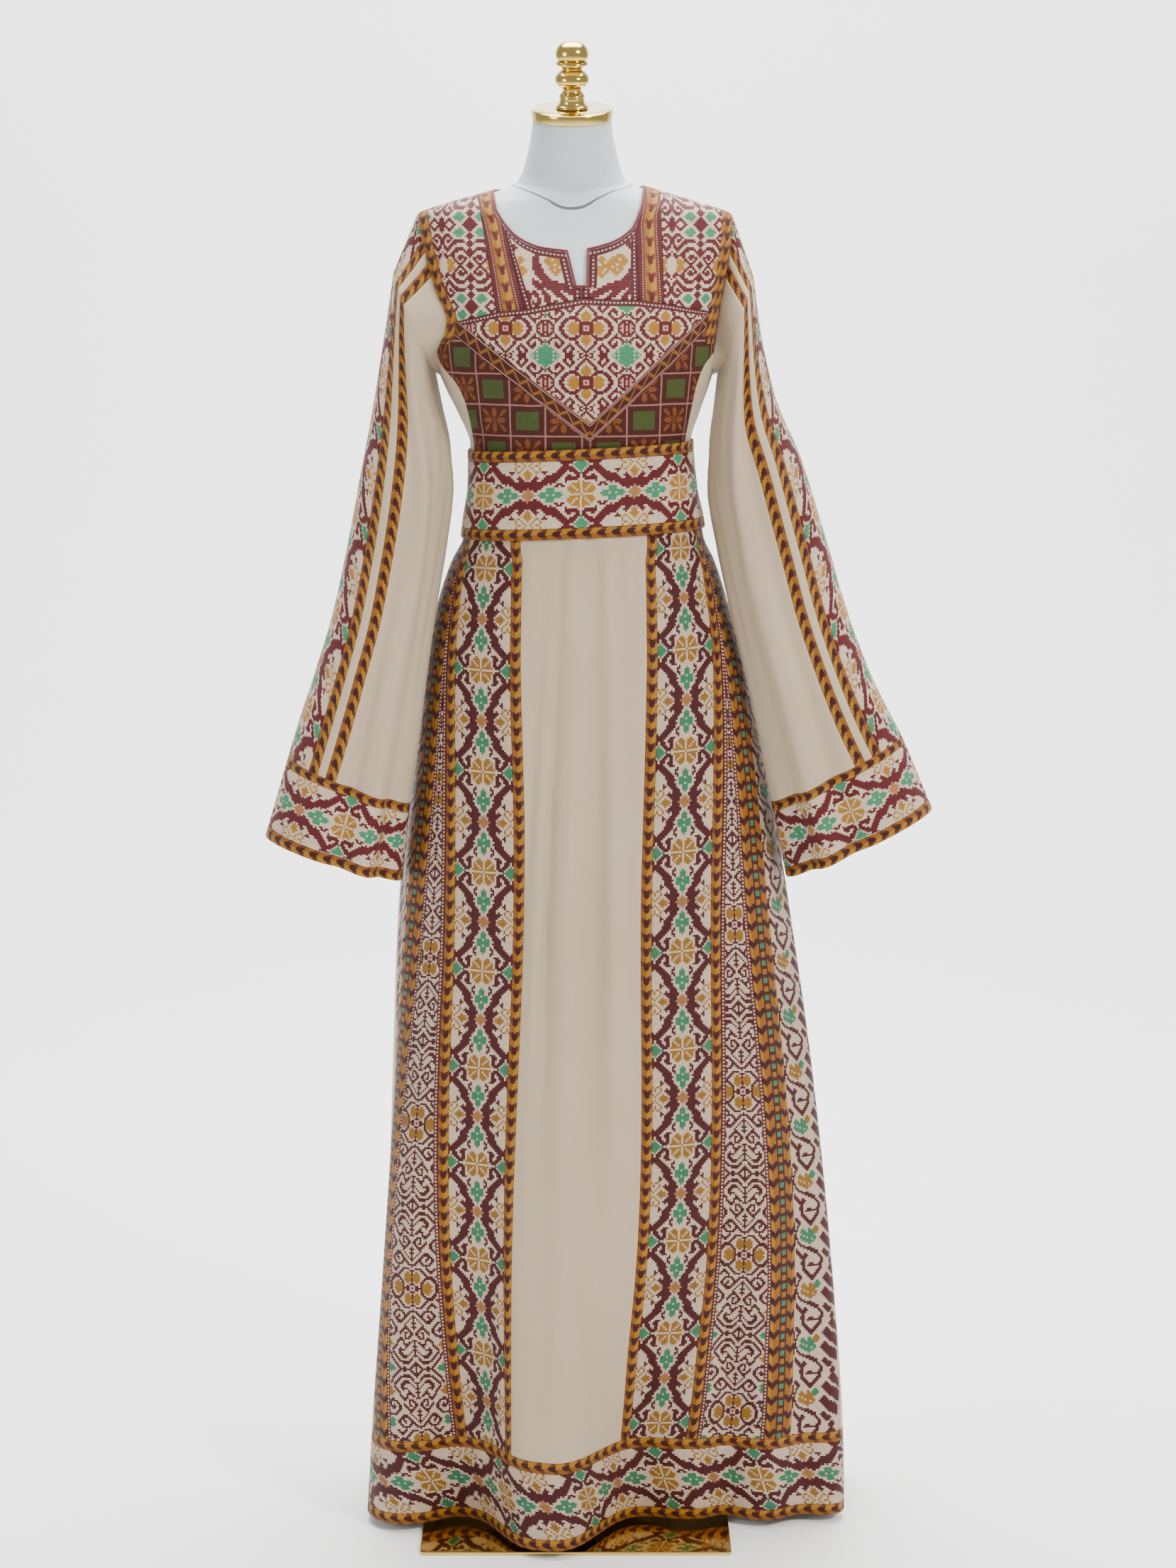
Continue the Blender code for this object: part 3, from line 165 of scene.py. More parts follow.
def coons(lower: Line, upper: Line, left: Line, right: Line, across: Points, upwards: Points) -> Points:
    """Grid of flat points between four edges, half a seam inside each.

    Args:
        lower: lower edge, from left to right.
        upper: upper edge, from left to right.
        left: left edge, upwards.
        right: right edge, upwards.
        across: shares of the columns.
        upwards: shares of the rows.

    Returns:
        Flat points, rows by columns by two.
    """
    def ends(line: Line) -> float:
        return float(np.linalg.norm(along(line, 1) - along(line, 0)))

    side, end = SEAM / (ends(lower) + ends(upper)), SEAM / (ends(left) + ends(right))
    u = np.clip(across, side, 1.0 - side)
    v = np.clip(upwards, end, 1.0 - end)
    low, high, first, last = along(lower, u), along(upper, u), along(left, v), along(right, v)
    u, v = u[None, :, None], v[:, None, None]
    corners = ((1 - u) * (1 - v) * along(lower, 0) + u * (1 - v) * along(lower, 1)
               + (1 - u) * v * along(upper, 0) + u * v * along(upper, 1))
    return (1 - v) * low[None] + v * high[None] + (1 - u) * first[:, None] + u * last[:, None] - corners


# ---------------------------------------------------------------- finishes


def linear(code: str) -> tuple[float, float, float, float]:
    """Turn an sRGB hex colour into linear light."""
    values = [int(code[i:i + 2], 16) / 255 for i in (1, 3, 5)]
    return tuple(v / 12.92 if v <= 0.04045 else ((v + 0.055) / 1.055) ** 2.4 for v in values) + (1.0,)


class Net:
    """The nodes of one material, on a Principled shader."""

    def __init__(self, name: str, **fixed: object) -> None:
        """Start a material; fixed are the shader's values that are the same all over."""
        self.material = bpy.data.materials.new(name)
        self.material.use_nodes = True
        self.tree = self.material.node_tree
        self.shader = self.tree.nodes["Principled BSDF"]
        for socket, value in fixed.items():
            self.shader.inputs[socket.replace("_", " ")].default_value = value

    def add(self, kind: str, *inputs: object, out: int = 0, stops: Sequence | None = None,
            stepped: bool = False, **settings: object) -> bpy.types.NodeSocket:
        """Add a node with its settings and links.

        Args:
            kind: the node's type, without its first word, and its operation after a space.
            inputs: for each input in order a value, another node's output, or None to leave it.
            out: which output is returned.
            stops: a colour ramp's stops, as position and colour.
            stepped: whether the ramp holds each stop up to the next.
            settings: the node's properties.

        Returns:
            The chosen output.
        """
        kind, *operation = kind.split()
        node = self.tree.nodes.new("ShaderNode" + kind)
        if operation:
            node.operation = operation[0]
        for key, value in settings.items():
            setattr(node, key, value)
        for index, value in enumerate(inputs):
            if isinstance(value, bpy.types.NodeSocket):
                self.tree.links.new(value, node.inputs[index])
            elif value is not None:
                node.inputs[index].default_value = value
        if stops is not None:
            ramp = node.color_ramp
            ramp.interpolation = "CONSTANT" if stepped else "LINEAR"
            for position, _ in stops[2:]:
                ramp.elements.new(position)
            for element, (position, colour) in zip(ramp.elements, stops):
                element.position, element.color = position, colour
        return node.outputs[out]

    def finish(self, colour: object, rough: object, height: object, distance: float,
               strength: float = 1.0) -> Cloth:
        """Link colour, roughness and a bump of a height in the given distance."""
        self.tree.links.new(colour, self.shader.inputs["Base Color"])
        if isinstance(rough, bpy.types.NodeSocket):
            self.tree.links.new(rough, self.shader.inputs["Roughness"])
        else:
            self.shader.inputs["Roughness"].default_value = rough
        bump = self.add("Bump", strength, distance, None, height)
        self.tree.links.new(bump, self.shader.inputs["Normal"])
        return self.material


class Repeat(Enum):
    """How a chart goes on past its last stitch."""

    MIRRORED = "PINGPONG"
    REPEATED = "FLOORED_MODULO"


THREADS = "roteypk"
CHART_ROWS = 32
CHART_COLUMNS = 21


@dataclass(frozen=True)
class Chart:
    """A counted cross-stitch chart: a letter for each stitch, a dot where the ground shows.

    Row 0 lies at the pattern's origin, and rows go on along the piece.
    """

    rows: tuple[str, ...]
    stitch: tuple[float, float]
    across: Repeat = Repeat.MIRRORED
    onward: Repeat = Repeat.MIRRORED
    shift: tuple[float, float] = (0.0, 0.0)

    def steps(self, net: Net, axis: int, place: object) -> tuple[object, object]:
        """The stitch's number along one axis, and the place inside the stitch."""
        count = len(self.rows[0]) if axis == 0 else len(self.rows)
        repeat = (self.across, self.onward)[axis]
        scaled = net.add("Math MULTIPLY_ADD", place, 1.0 / self.stitch[axis], self.shift[axis])
        if repeat is Repeat.MIRRORED:
            folded = net.add("Math PINGPONG", scaled, float(count - 1))
            folded = net.add("Math ADD", folded, 0.5)
        else:
            folded = net.add("Math FLOORED_MODULO", scaled, float(count))
        number = net.add("Math FLOOR", folded)
        return number, net.add("Math SUBTRACT", folded, number)

    def mask(self, net: Net, row: object, column: object, first_row: int, first_column: int) -> object:
        """The thread's number, from 0 for the ground, read from one block of the chart."""
        rows = self.rows[first_row:first_row + CHART_ROWS]
        stops = []
        for index, text in enumerate(rows):
            cut = text[first_column:first_column + CHART_COLUMNS]
            guard = 2.0 ** -(len(cut) + 1)
            colour = []
            for bit in range(3):
                held = [((THREADS.find(letter) + 1) >> bit) & 1 for letter in cut]
                colour.append(sum(on * 2.0 ** -(place + 1) for place, on in enumerate(held)) + guard)
            stops.append((index / CHART_ROWS, (*colour, 1.0)))
        while len(stops) < 2:
            stops.append((0.99, stops[-1][1]))
        place = net.add("Math MULTIPLY_ADD", row, 1.0 / CHART_ROWS, (0.5 - first_row) / CHART_ROWS)
        ramp = net.add("ValToRGB", place, stops=stops, stepped=True)
        split = net.add("SeparateColor", ramp).node
        power = net.add("Math POWER", 2.0, net.add("Math ADD", column, 1.0 - first_column))
        number = None
        for bit in range(3):
            raised = net.add("Math MULTIPLY", split.outputs[bit], power)
            whole = net.add("Math FLOOR", raised)
            held = net.add("Math FLOORED_MODULO", whole, 2.0)
            number = net.add("Math MULTIPLY_ADD", held, float(1 << bit), number or 0.0)
        return number

    def read(self, net: Net, vector: object) -> tuple[object, object, object]:
        """Read the chart.

        Args:
            net: the material's nodes.
            vector: the pattern's place in metres.

        Returns:
            The thread's number, the height inside the stitch and a number of its own for each stitch.
        """
        split = net.add("SeparateXYZ", vector).node
        column, inside_x = self.steps(net, 0, split.outputs[0])
        row, inside_y = self.steps(net, 1, split.outputs[1])
        number = None
        for first_row in range(0, len(self.rows), CHART_ROWS):
            for first_column in range(0, len(self.rows[0]), CHART_COLUMNS):
                block = self.mask(net, row, column, first_row, first_column)
                if number is None:
                    number = block
                    continue
                past_row = net.add("Math GREATER_THAN", row, first_row - 0.5)
                past_column = net.add("Math GREATER_THAN", column, first_column - 0.5)
                within = net.add("Math MULTIPLY", past_row, past_column)
                number = net.add("Mix", within, None, number, block)
        domes = []
        for inside in (inside_x, inside_y):
            away = net.add("Math MULTIPLY_ADD", inside, 2.0, -1.0)
            domes.append(net.add("Math SUBTRACT", 1.0, net.add("Math POWER", away, 4.0)))
        dome = net.add("Math MULTIPLY", *domes)
        cell = net.add("VectorMath MULTIPLY", vector, (1 / self.stitch[0], 1 / self.stitch[1], 1.0), None)
        cell = net.add("VectorMath FLOOR", net.add("VectorMath ADD", cell, (0.5, 0.5, 0.5)))
        return number, dome, net.add("TexWhiteNoise", cell, noise_dimensions="3D")


@dataclass(frozen=True)
class CrossStitch:
    """Counted cross-stitch in stranded cotton on evenweave: small raised stitches with a soft gloss."""

    name: str
    chart: Chart
    ground: str
    threads: dict[str, str]
    frame: str = ""
    dots: str = "#D9C3B4"
    frame_width: float = 0.0
    frame_sides: str = ""
    dot_half: float = 0.0009
    dot_step: float = 0.0042
    dot_length: float = 0.002

    def build(self) -> Cloth:
        """Make the material: the thread's colour by its number, worn a little, with painted shade in the
        gaps between the raised stitches.
        """
        net = Net(self.name, Sheen_Weight=0.05, Sheen_Roughness=0.45, Specular_IOR_Level=0.22)
        place = net.add("UVMap", uv_map=PATTERN_MAP)
        number, dome, own = self.chart.read(net, place)
        names = [self.threads.get(letter, self.ground) for letter in THREADS]
        stops = [(index / 8, linear(code)) for index, code in enumerate([self.ground] + names)]
        fac = net.add("Math MULTIPLY_ADD", number, 1 / 8, 0.5 / 8)
        colour = net.add("ValToRGB", fac, stops=stops, stepped=True)
        stitched = net.add("Math GREATER_THAN", number, 0.5)
        if self.frame:
            colour, stitched = self.bordered(net, colour, stitched)
        body = net.add("TexCoord", out=3)
        # Each stitch has its own tone, wear clouds them, and painted shade darkens the gaps between them.
        worn = net.add("TexNoise", body, None, 9.0, 4.0, 0.6)
        fine = net.add("TexNoise", body, None, 900.0, 2.0, 0.5)
        tone = net.add("Math MULTIPLY_ADD", own, 0.13, 0.68)
        tone = net.add("Math MULTIPLY_ADD", worn, 0.18, tone)
        tone = net.add("Math SUBTRACT", tone, 0.07)
        # Painted shade: each stitch's colour darkens towards its edges, where it meets the next one.
        gap = net.add("Math SUBTRACT", 1.0, dome)
        gap = net.add("Math MULTIPLY", gap, stitched)
        tone = net.add("Math MULTIPLY_ADD", gap, -0.16, tone)
        colour = net.add("VectorMath SCALE", colour, None, None, tone)
        raised = net.add("Math MULTIPLY", dome, stitched)
        height = net.add("Math MULTIPLY_ADD", fine, 0.35, raised)
        rough = net.add("Math MULTIPLY_ADD", stitched, -0.1, 0.72)
        return net.finish(colour, rough, height, 0.0004, 0.8)

    def bordered(self, net: Net, colour: object, stitched: object) -> tuple[object, object]:
        """Lay a narrow dark band with a row of light dots along the edges that it has."""
        split = net.add("SeparateXYZ", net.add("UVMap", uv_map=EDGE_MAP)).node
        pattern = net.add("SeparateXYZ", net.add("UVMap", uv_map=PATTERN_MAP)).node
        nearest = None
        for sign, output, onward in (("s", 0, 1), ("t", 1, 0)):
            if sign not in self.frame_sides:
                continue
            inside = net.add("Math LESS_THAN", split.outputs[output], self.frame_width)
            row = net.add("Math SUBTRACT", split.outputs[output], self.frame_width * 0.5)
            row = net.add("Math LESS_THAN", net.add("Math ABSOLUTE", row), self.dot_half)
            step = net.add("Math FLOORED_MODULO", pattern.outputs[onward], self.dot_step)
            step = net.add("Math LESS_THAN", step, self.dot_length)
            dot = net.add("Math MULTIPLY", row, step)
            band = net.add("Mix", dot, *SKIPPED, linear(self.frame), linear(self.dots), **COLOURS)
            colour = net.add("Mix", inside, *SKIPPED, colour, band, **COLOURS)
            nearest = inside if nearest is None else net.add("Math MAXIMUM", nearest, inside)
        return colour, net.add("Math MAXIMUM", stitched, nearest)


@dataclass(frozen=True)
class PlainCloth:
    """Plain-woven cloth: fine threads over and under, a soft sheen, and faint clouds of tone."""

    name: str
    colour: str
    shade: str
    thread: float
    relief: float
    sheen: float = 0.25
    rough: float = 0.62

    def build(self) -> Cloth:
        """Make the material, with the weave on the piece's own map."""
        net = Net(self.name, Sheen_Weight=self.sheen, Sheen_Roughness=0.4, Specular_IOR_Level=0.32)
        split = net.add("SeparateXYZ", net.add("UVMap", uv_map=PATTERN_MAP)).node
        waves = []
        for output in (0, 1):
            angle = net.add("Math MULTIPLY", split.outputs[output], 2 * math.pi / self.thread)
            waves.append(net.add("Math SINE", angle))
        weave = net.add("Math MULTIPLY", *waves)
        body = net.add("TexCoord", out=3)
        clouds = net.add("TexNoise", body, None, 6.0, 3.0, 0.55)
        drawn = net.add("Mapping", body, None, None, (60.0, 60.0, 700.0))
        slubs = net.add("TexNoise", drawn, None, 1.0, 2.0)
        tone = net.add("Math MULTIPLY_ADD", clouds, 0.7, net.add("Math MULTIPLY", slubs, 0.3))
        colour = net.add("Mix", tone, *SKIPPED, linear(self.shade), linear(self.colour), **COLOURS)
        height = net.add("Math MULTIPLY_ADD", weave, 0.5, slubs)
        rough = net.add("Math MULTIPLY_ADD", clouds, 0.12, self.rough - 0.06)
        return net.finish(colour, rough, height, self.relief, 0.6)


@dataclass(frozen=True)
class FormCover:
    """White cotton jersey stretched over the form, with the dark seam that runs round its neck."""

    name: str = "white cotton jersey"
    colour: str = "#CBD6D8"
    shade: str = "#B9C4C8"
    seam_middle: float = -0.0035
    seam_reach: tuple = (0.0665, 0.0605)
    seam_half: float = 0.011
    seam_span: tuple = (1.49, 1.56)
    seam_colour: str = "#5C5F63"
    # The jersey's ribs are about 0.7 mm apart, and drawn coarser so that they show.
    rib: float = 0.0011

    def build(self) -> Cloth:
        """Make the material; from above the seam is an oval round the neck."""
        net = Net(self.name, Sheen_Weight=0.2, Sheen_Roughness=0.5, Specular_IOR_Level=0.3)
        body = net.add("TexCoord", out=3)
        split = net.add("SeparateXYZ", body).node
        wide, deep = self.seam_reach
        oval = net.add("VectorMath MULTIPLY_ADD", body, (1 / wide, 1 / deep, 0),
                       (-self.seam_middle / wide, 0, 0))
        away = net.add("VectorMath LENGTH", oval, out=1)
        away = net.add("Math ABSOLUTE", net.add("Math SUBTRACT", away, 1.0))
        line = net.add("Math LESS_THAN", away, self.seam_half)
        for limit, test in zip(self.seam_span, ("Math GREATER_THAN", "Math LESS_THAN")):
            line = net.add("Math MULTIPLY", line, net.add(test, split.outputs[2], limit))
        clouds = net.add("TexNoise", body, None, 14.0, 3.0)
        ribs = net.add("Math MULTIPLY", split.outputs[2], 2 * math.pi / self.rib)
        ribs = net.add("Math SINE", ribs)
        colour = net.add("Mix", clouds, *SKIPPED, linear(self.shade), linear(self.colour), **COLOURS)
        colour = net.add("Mix", line, *SKIPPED, colour, linear(self.seam_colour), **COLOURS)
        height = net.add("Math MULTIPLY_ADD", line, -4.0, ribs)
        return net.finish(colour, 0.78, height, 0.00015, 0.6)


@dataclass(frozen=True)
class Brass:
    """Polished lacquered brass: mirror-like, with faint turning marks and a little dulling."""

    name: str
    marks: float
    rough: float = 0.1
    dull: str = "#C9A548"
    bright: str = "#E2C877"

    def build(self) -> Cloth:
        """Make the material; the marks run round the upright axis."""
        net = Net(self.name, Metallic=1.0, Coat_Weight=0.25, Coat_Roughness=0.05)
        body = net.add("TexCoord", out=3)
        cloud = net.add("TexNoise", body, None, 22.0, 4.0, 0.6)
        lathe = net.add("Mapping", body, None, None, (40.0, 40.0, 2600.0))
        fine = net.add("TexNoise", lathe, None, 1.0, 2.0)
        colour = net.add("Mix", cloud, *SKIPPED, linear(self.dull), linear(self.bright), **COLOURS)
        rough = net.add("Math MULTIPLY_ADD", cloud, 0.1, self.rough - 0.03)
        return net.finish(colour, rough, fine, self.marks, 0.4)


# ---------------------------------------------------------------- charts of the embroidery

# Real stitches are about 1.2 mm wide. They are drawn 1.3 to 2.6 mm wide, so that they show.

RED, LOW_RED = "#5E1319", "#460B10"
GOLD, OCHRE, TAN = "#AA7622", "#8E5C18", "#A87650"
GREEN, DEEP_GREEN = "#3E8A62", "#3F4A18"
PINK, CREAM, LOW_CREAM, BROWN = "#C89286", "#CBB59F", "#BFA792", "#3E0E07"

# Great band: r dark red scrolls, o gold rosettes, e green diamonds and corners, t tan crossings.
ROSETTE_BAND = Chart((
    "o.........eeeee", ".oooooo.rrr.eee", ".o.ooo.rrrrr.ee",
    ".oo.oo.rr.rrr.e", ".ooo.o.rr..rrr.", ".oooo..rrr.rrr.",
    "..oo...rrr..rrr", "......rrr..rrrr", "....r.....rrrrr",
    "e...rr...rrrrr.", "ee...r..rrrrr..", "ee..rr.rrrrr...",
    "ee..r.rrrrr....", ".eee..rrrrr....", "eeee.rrrrr.....",
    "eeee..rrrr.....", ".eee.rrrrr.r...", "ee...rrrr.rr...",
    "ee..rrrr...r...", "ee.rrrr.....oo.", "e..rrrr.r..o..o",
    "..rrrrrrrr.o..o", "t.rrrrrrr...o..", "tt.rrrrr..o..o.",
    "ottrrrr.tooo..o", "tottrrrttoooo.."), (0.00222, 0.00226))

# Narrow stripe: dark red chevrons pointing down, like a wheat ear between two tones of gold.
CHEVRON = ("ooorrttt", "oorrrrtt", "okrrrrkt", "kkrrrrkk", "kkrotrkk", "koootttk", "ooootttt")


def drawn_out(counts: Sequence[int]) -> tuple[str, ...]:
    """The chevron's rows, each as often as its count."""
    return tuple(row for row, count in zip(CHEVRON, counts) for _ in range(count))


ARROW_STRIPE = Chart(drawn_out((1, 2, 1, 2, 1, 1, 3)), (0.0015, 0.0015), Repeat.REPEATED,
                     Repeat.REPEATED, (4.0, 0.0))

# Lace pattern: a gold four-petal flower at the origin, a green medallion at the far corner.
FLOWER_LACE = Chart((
    "rprrooooo...rr..rrprp", "pprroooooo.rrr..rpprp", "rrrrooooo..rr...rrprr", "rrrr.ooo..rrr..r.rrrp",
    "oo.rrr...rrr..rr..rrr", "ooo.rrrrrrr..rrrrr...", "ooo..rrrr...rr...rr.r", "ooo.rr.....rr..r..rre",
    "oo..rr..r..rr.rr..r.e", "o..rr..rrr..rrrr...ee", "..rr..rr.rr..rr..eeee", ".rr...rr..rr....eeeee",
    "rr..r..rr.rr...e.eeee", "r.rr...rrrr...eeeeeee", "rr.r..rrrrr..e.e.eeee",
), (0.0022, 0.00205))

# Lower chest: pale lines in squares, green fields and ochre stars by turns.
LATTICE = Chart((
    "eeeeeee...p..oooooo.o", "eeeeeee...p...oooo.o.", "eeeeeee...p......o..o", "eeeeeee...p....oo..oo",
    "eeeeeee...p...ooo..oo", "eeeeeee...p..ooo...oo", "..........p..oo....oo", "..........p.........o",
    "..........p..........", "ppppppppppppppppppppp", "..........p..........", "o.........p..........",
    "oo....oo..p..........", "oo...ooo..p...eeeeeee", "oo..ooo...p...eeeeeee", "oo..oo....p...eeeeeee",
    "o..o......p...eeeeeee", ".o.oooo...p...eeeeeee", "o.oooooo..p...eeeeeee",
), (0.002, 0.0019))

# V border: an ochre zigzag between pale double lines, along the border's long way.
ZIGZAG = Chart(tuple(
    "p.p" + ("." * at + "ooo").ljust(10, ".") + "p.p" for at in (*range(8), *range(6, 0, -1))
), (0.00132, 0.00132), Repeat.REPEATED, Repeat.REPEATED, (8.0, 0.0))

# Stripe beside the neck: the chevron stripe between dark bands with light dots.
NECK_BAND = Chart(tuple(
    edge + row + edge[::-1] for edge, row in zip(("rrrpr.", "rrrrr.") * 7, drawn_out((1, 3, 1, 2, 1, 1, 5)))
), (0.0015, 0.0015), Repeat.REPEATED, Repeat.REPEATED, (10.0, 0.0))

# Neck yoke: a leafy dark red branch that climbs away from the slit, with a gold spray beside it.
SPRAY = Chart((
    "rrrrrrrrrrrrrrrrrrrrr", ".r.r.r.r.r.r.r.r.r.r.", "....rr......rr....rr.",
    "...rrrr....rrrr..rrrr", "..rr.rrr..rr.rrr.rr.r", "rr....rrr....rrr.rr..",
    "rrrr...rrrr..rrr..rr.", "rrrrrr..rrrr..rrr.rrr", ".rrrrrrr.rrrr..rr..rr",
    "...rrrrrrrrrrrr.rrr..", ".....rrrrrrrrrrrrrrr.", ".......rrrrrrrrrrrrrr",
    "..........rrrrrrr.rrr", ".............rrrrr..r", "....oo........rrrrr..",
    "...oooo...oo...rrrrr.", "..ooo.oo.oooo...rrrr.", "..oooo.oooo.oo..rrrrr",
    "...oooooo.oooo...rrrr", ".....oooooo.ooo..rrrr", "....oo.ooooooooo..rrr",
    "...oooo.oooo.ooo..rrr", "....oo...oooooo...rrr", "...........ooo...rrr.",
    "..................rrr", ".......r.........rrr.", "......rrr..r....rrrr.",
    ".......rrrrrr..rrrr..", "..........rrrrrrrr...", "............rrrrr....",
    ".....................", "....................."), (0.0026, 0.0026), Repeat.REPEATED, Repeat.REPEATED)

# Tile band: small green and gold squares by turns, between two chevron stripes; half of it.
TILES = Chart((
    "eekooorttt", "eekoorrrtt", "eekorrrrrt", "..kkrrrrrk", "..kkrrorrk", "yykkrootrk", "yykoooottt",
    "yykoooottt", "..koooottt", "..koooottt",
), (0.00195, 0.002), Repeat.MIRRORED, Repeat.REPEATED)

# Gore: a four-petal flower, then a spine with great scrolls, small leaves and a green fan; half of it.
GORE = Chart((
    "rprrrrooooo..rr.....r", "pprr.roooooo.rr..r..r", "rr...rooooo..rr.rrr.r", "r.oo.rr.oo..rr..r...r",
    "roooo.rr...rrr.rr...r", "roooo..rrrrrr..r....r", "ooooo...rrrr.rrrr...r", "roooo..rr.....rrrr..r",
    "r.oo..rr..rr.....rr.r", "rr...rr..rrrr.....r.r", "..rrrr..rr..rr......r", "r.......r..........rr",
    "rrr...rrrrr....eee..r", "..rr.rr...rr..eeeee.r", "r..rrr..r..rr..eeee.r", "rr..rr..rr.rr.eeeee.r",
    "r.r..rr..rrr...ee...r", "r..r..rrrrr......rr.r", "rr..r..rrr...rrrrrr.r", "r....r......rr...rr.r",
    "rr..rr.....rr.....r.r", "r..rrrr...rr..rr..r.r", "..rr..rr..rr.rrrr.r.r", ".rr.rr.rr.rr..r.rrr.r",
    ".rr..r..r..rr...rr..r", "..rr.r......rrrrr...r", "...rrr.rr.....rr....r", "rr....rrrr.........rr",
    "r.rr..r..rr....oo...r", "r..rrrr...r...oooo..r", "rr..rr....rr.ooooo..r", "r....r..r..rr..ooo..r",
    "rr....rrrr..rr.oo...r", "r.r.....rr...r......r", "r..r...rrr..rr.r....r", "rr..rrrrr..rr.rr....r",
    "..r..rrr..rr..r..r..r", "..rr.....rr..rr.rr..r", "r..rrrrrrr..rr...r..r", "rr..rrrr...rr.......r",
    "rrr.......rr...e....r", "r.rr..rr.rr..eeee...r", "r..rrrrrrr..eeeeee..r",
), (0.0021, 0.0023))

# Vine band: a stem that swings round an oval with a rosebud, and great slanting leaves between; the buds
# are green and gold by turns.
VINE_STEP = (
    "....rr........rr......rr....", "....rrr......rrr.....rrrr...", "rr...rrr....rrr.....rrrrrr..",
    "rrr...rrr..rrr.......rrrrrr.", ".rrr...rrrrrr.....rr..rrrrrr", "..rr....rrrr.....rrrr..rrrrr",
    ".rr......rr.....rrrrrr...rrr", ".r..........oo...rrrrrrr..rr", "rr..ee..ee.oooo...rrrrrrrr.r",
    "r..eeee.eeeoooo....rrrrrrrr.", "r...eeeeeeeeoo......rrrrrrrr", "r..ee.eeeeee.....rr..rrrrrrr",
    "rr.eeee.eeeee...rrrr...rrrrr", ".r..eeeeee.ee..rrrrrr...rrrr", ".rr...eeeeee....rrrrrrr..rrr",
    "..rr....ee.......rrrrrrrr..r", "...rrr............rrrrrrrr..", "r....rrrrr.........rrrrrrrr.",
    "rr.....rrrrr........rrrrrrr.", "rrr......rrrrr...rr..rrrrrr.", ".rrr.rr....rrr..rrrr...rrrr.",
    "..rrrrrr.....rr..rrrrr...rr.", "...rrrr.......rr..rrrrr.....", "....rr.........rr..rrr......",
    "...rrr.........rr.....rr....", "...rrr..rrr...rrr....rrrr...", "....rr.rrrrrrrrr.....rrrr...",
)[::-1]
OTHER_BUD = str.maketrans("eo", "oe")
VINE = Chart(VINE_STEP + tuple(row.translate(OTHER_BUD) for row in VINE_STEP), (0.0021, 0.0024),
             Repeat.REPEATED, Repeat.REPEATED, (14.0, 0.0))

# Shoulder panel: thick scrolls on a spine, with gold leaves low and green ones high; half of it.
CLUSTER = Chart((
    "rrr..rr...ooo....", "rr..rrrr.ooooo...", "r..rr..rrooooo...",
    "..rr.rr.rr.ooo...", "r.rrrrrr.rr..rr..", "rr..rrr..rrrrrrr.",
    "rrr......rrr..rr.", "rrrr...rrrr..r..r", "rr.rrrrrrr..rrr..",
    "r...rrrrr..rrrrr.", "rr........rrr.rr.", "rrr.....rrrr...rr",
    "rr.rrrrrrrr.rr.rr", "r...rrrrrr.rrr.rr", "rr........rr..rrr",
    "rrr..eee...rrrrr.", "rr..eeeee...rrr..", "r..eeeeeee......r",
    "rr..eeeee..rr..rr", "rrr..ee...rrrr.rr", "rrrr.....rr..rrrr",
    "rrrrr...rr....rrr"), (0.0021, 0.0021))

TOP_THREADS = {"r": RED, "o": GOLD, "t": TAN, "e": GREEN, "y": OCHRE, "p": PINK, "k": BROWN}
LOW_THREADS = {**TOP_THREADS, "r": LOW_RED, "e": "#327552", "o": "#8E6218", "t": "#9C6A44"}


# ---------------------------------------------------------------- making and dressing a piece


@dataclass
class Wall:
    """A piece of cloth as two grids of points, rows by columns, with its pattern's places in metres."""

    inner: Points
    outer: Points
    rows: Points
    columns: Points
    closed: bool = False
    pattern: Points | None = None
    turned: bool = False
    scale: float = 1.0

    def maps(self) -> tuple[Points, Points, float, float]:
        """Places of the pattern, distances to the side and top edges, and the piece's width and length."""
        across, upwards = row_lengths(self.outer, 1), row_lengths(self.outer, 0)
        width, length = across[:, -1:], upwards[-1:, :]
        if self.pattern is None:
            places = np.stack([across - width / 2, upwards - length / 2 * self.turned], axis=2)
        else:
            places = self.pattern
        if self.turned:
            places = places[:, :, ::-1]
        edges = np.stack([np.minimum(across, width - across), length - upwards], axis=2)
        return places * self.scale, edges, float(width.max()), float(length.mean())

    def from_level(self, level: float, mirrored: bool) -> Points:
        """The pattern's places, from a height on the middle of the piece's width."""
        across, upwards = row_lengths(self.outer, 1), row_lengths(self.outer, 0)
        start = [np.interp(level, heights, lengths)
                 for heights, lengths in zip(self.outer[..., 2].T, upwards.T)]
        return np.stack([(across - across[:, -1:] / 2) * (-1 if mirrored else 1), upwards - start], axis=2)


def strip_places(rows: Points, columns: Points, width: float, length: float) -> Callable:
    """Places of a grid's corners in the unit square, its longer way cut into strips laid side by side.

    Args:
        rows: shares of the rows along the length.
        columns: shares of the columns along the width.
        width: the piece's width in metres.
        length: the piece's length in metres.

    Returns:
        A function from a face's row and column, and its corner's row and column, to the place.
    """
    tall = length >= width
    shares = (rows, columns) if tall else (columns, rows)
    ratio = max(length, width) / max(min(length, width), 1e-4)
    strips = max(1, round(math.sqrt(ratio * 1.2)))
    each = math.ceil((len(shares[0]) - 1) / strips)
    strips = math.ceil((len(shares[0]) - 1) / each)

    def place(face_row: Points, face_column: Points, row: Points, column: Points) -> Points:
        face, run, side = (face_row, row, column) if tall else (face_column, column, row)
        strip = face // each
        low = shares[0][strip * each]
        high = shares[0][np.minimum((strip + 1) * each, len(shares[0]) - 1)]
        u = (strip + 0.01 + 0.98 * shares[1][side]) / strips
        return np.stack([u, (shares[0][run] - low) / (high - low)], axis=-1)

    return place


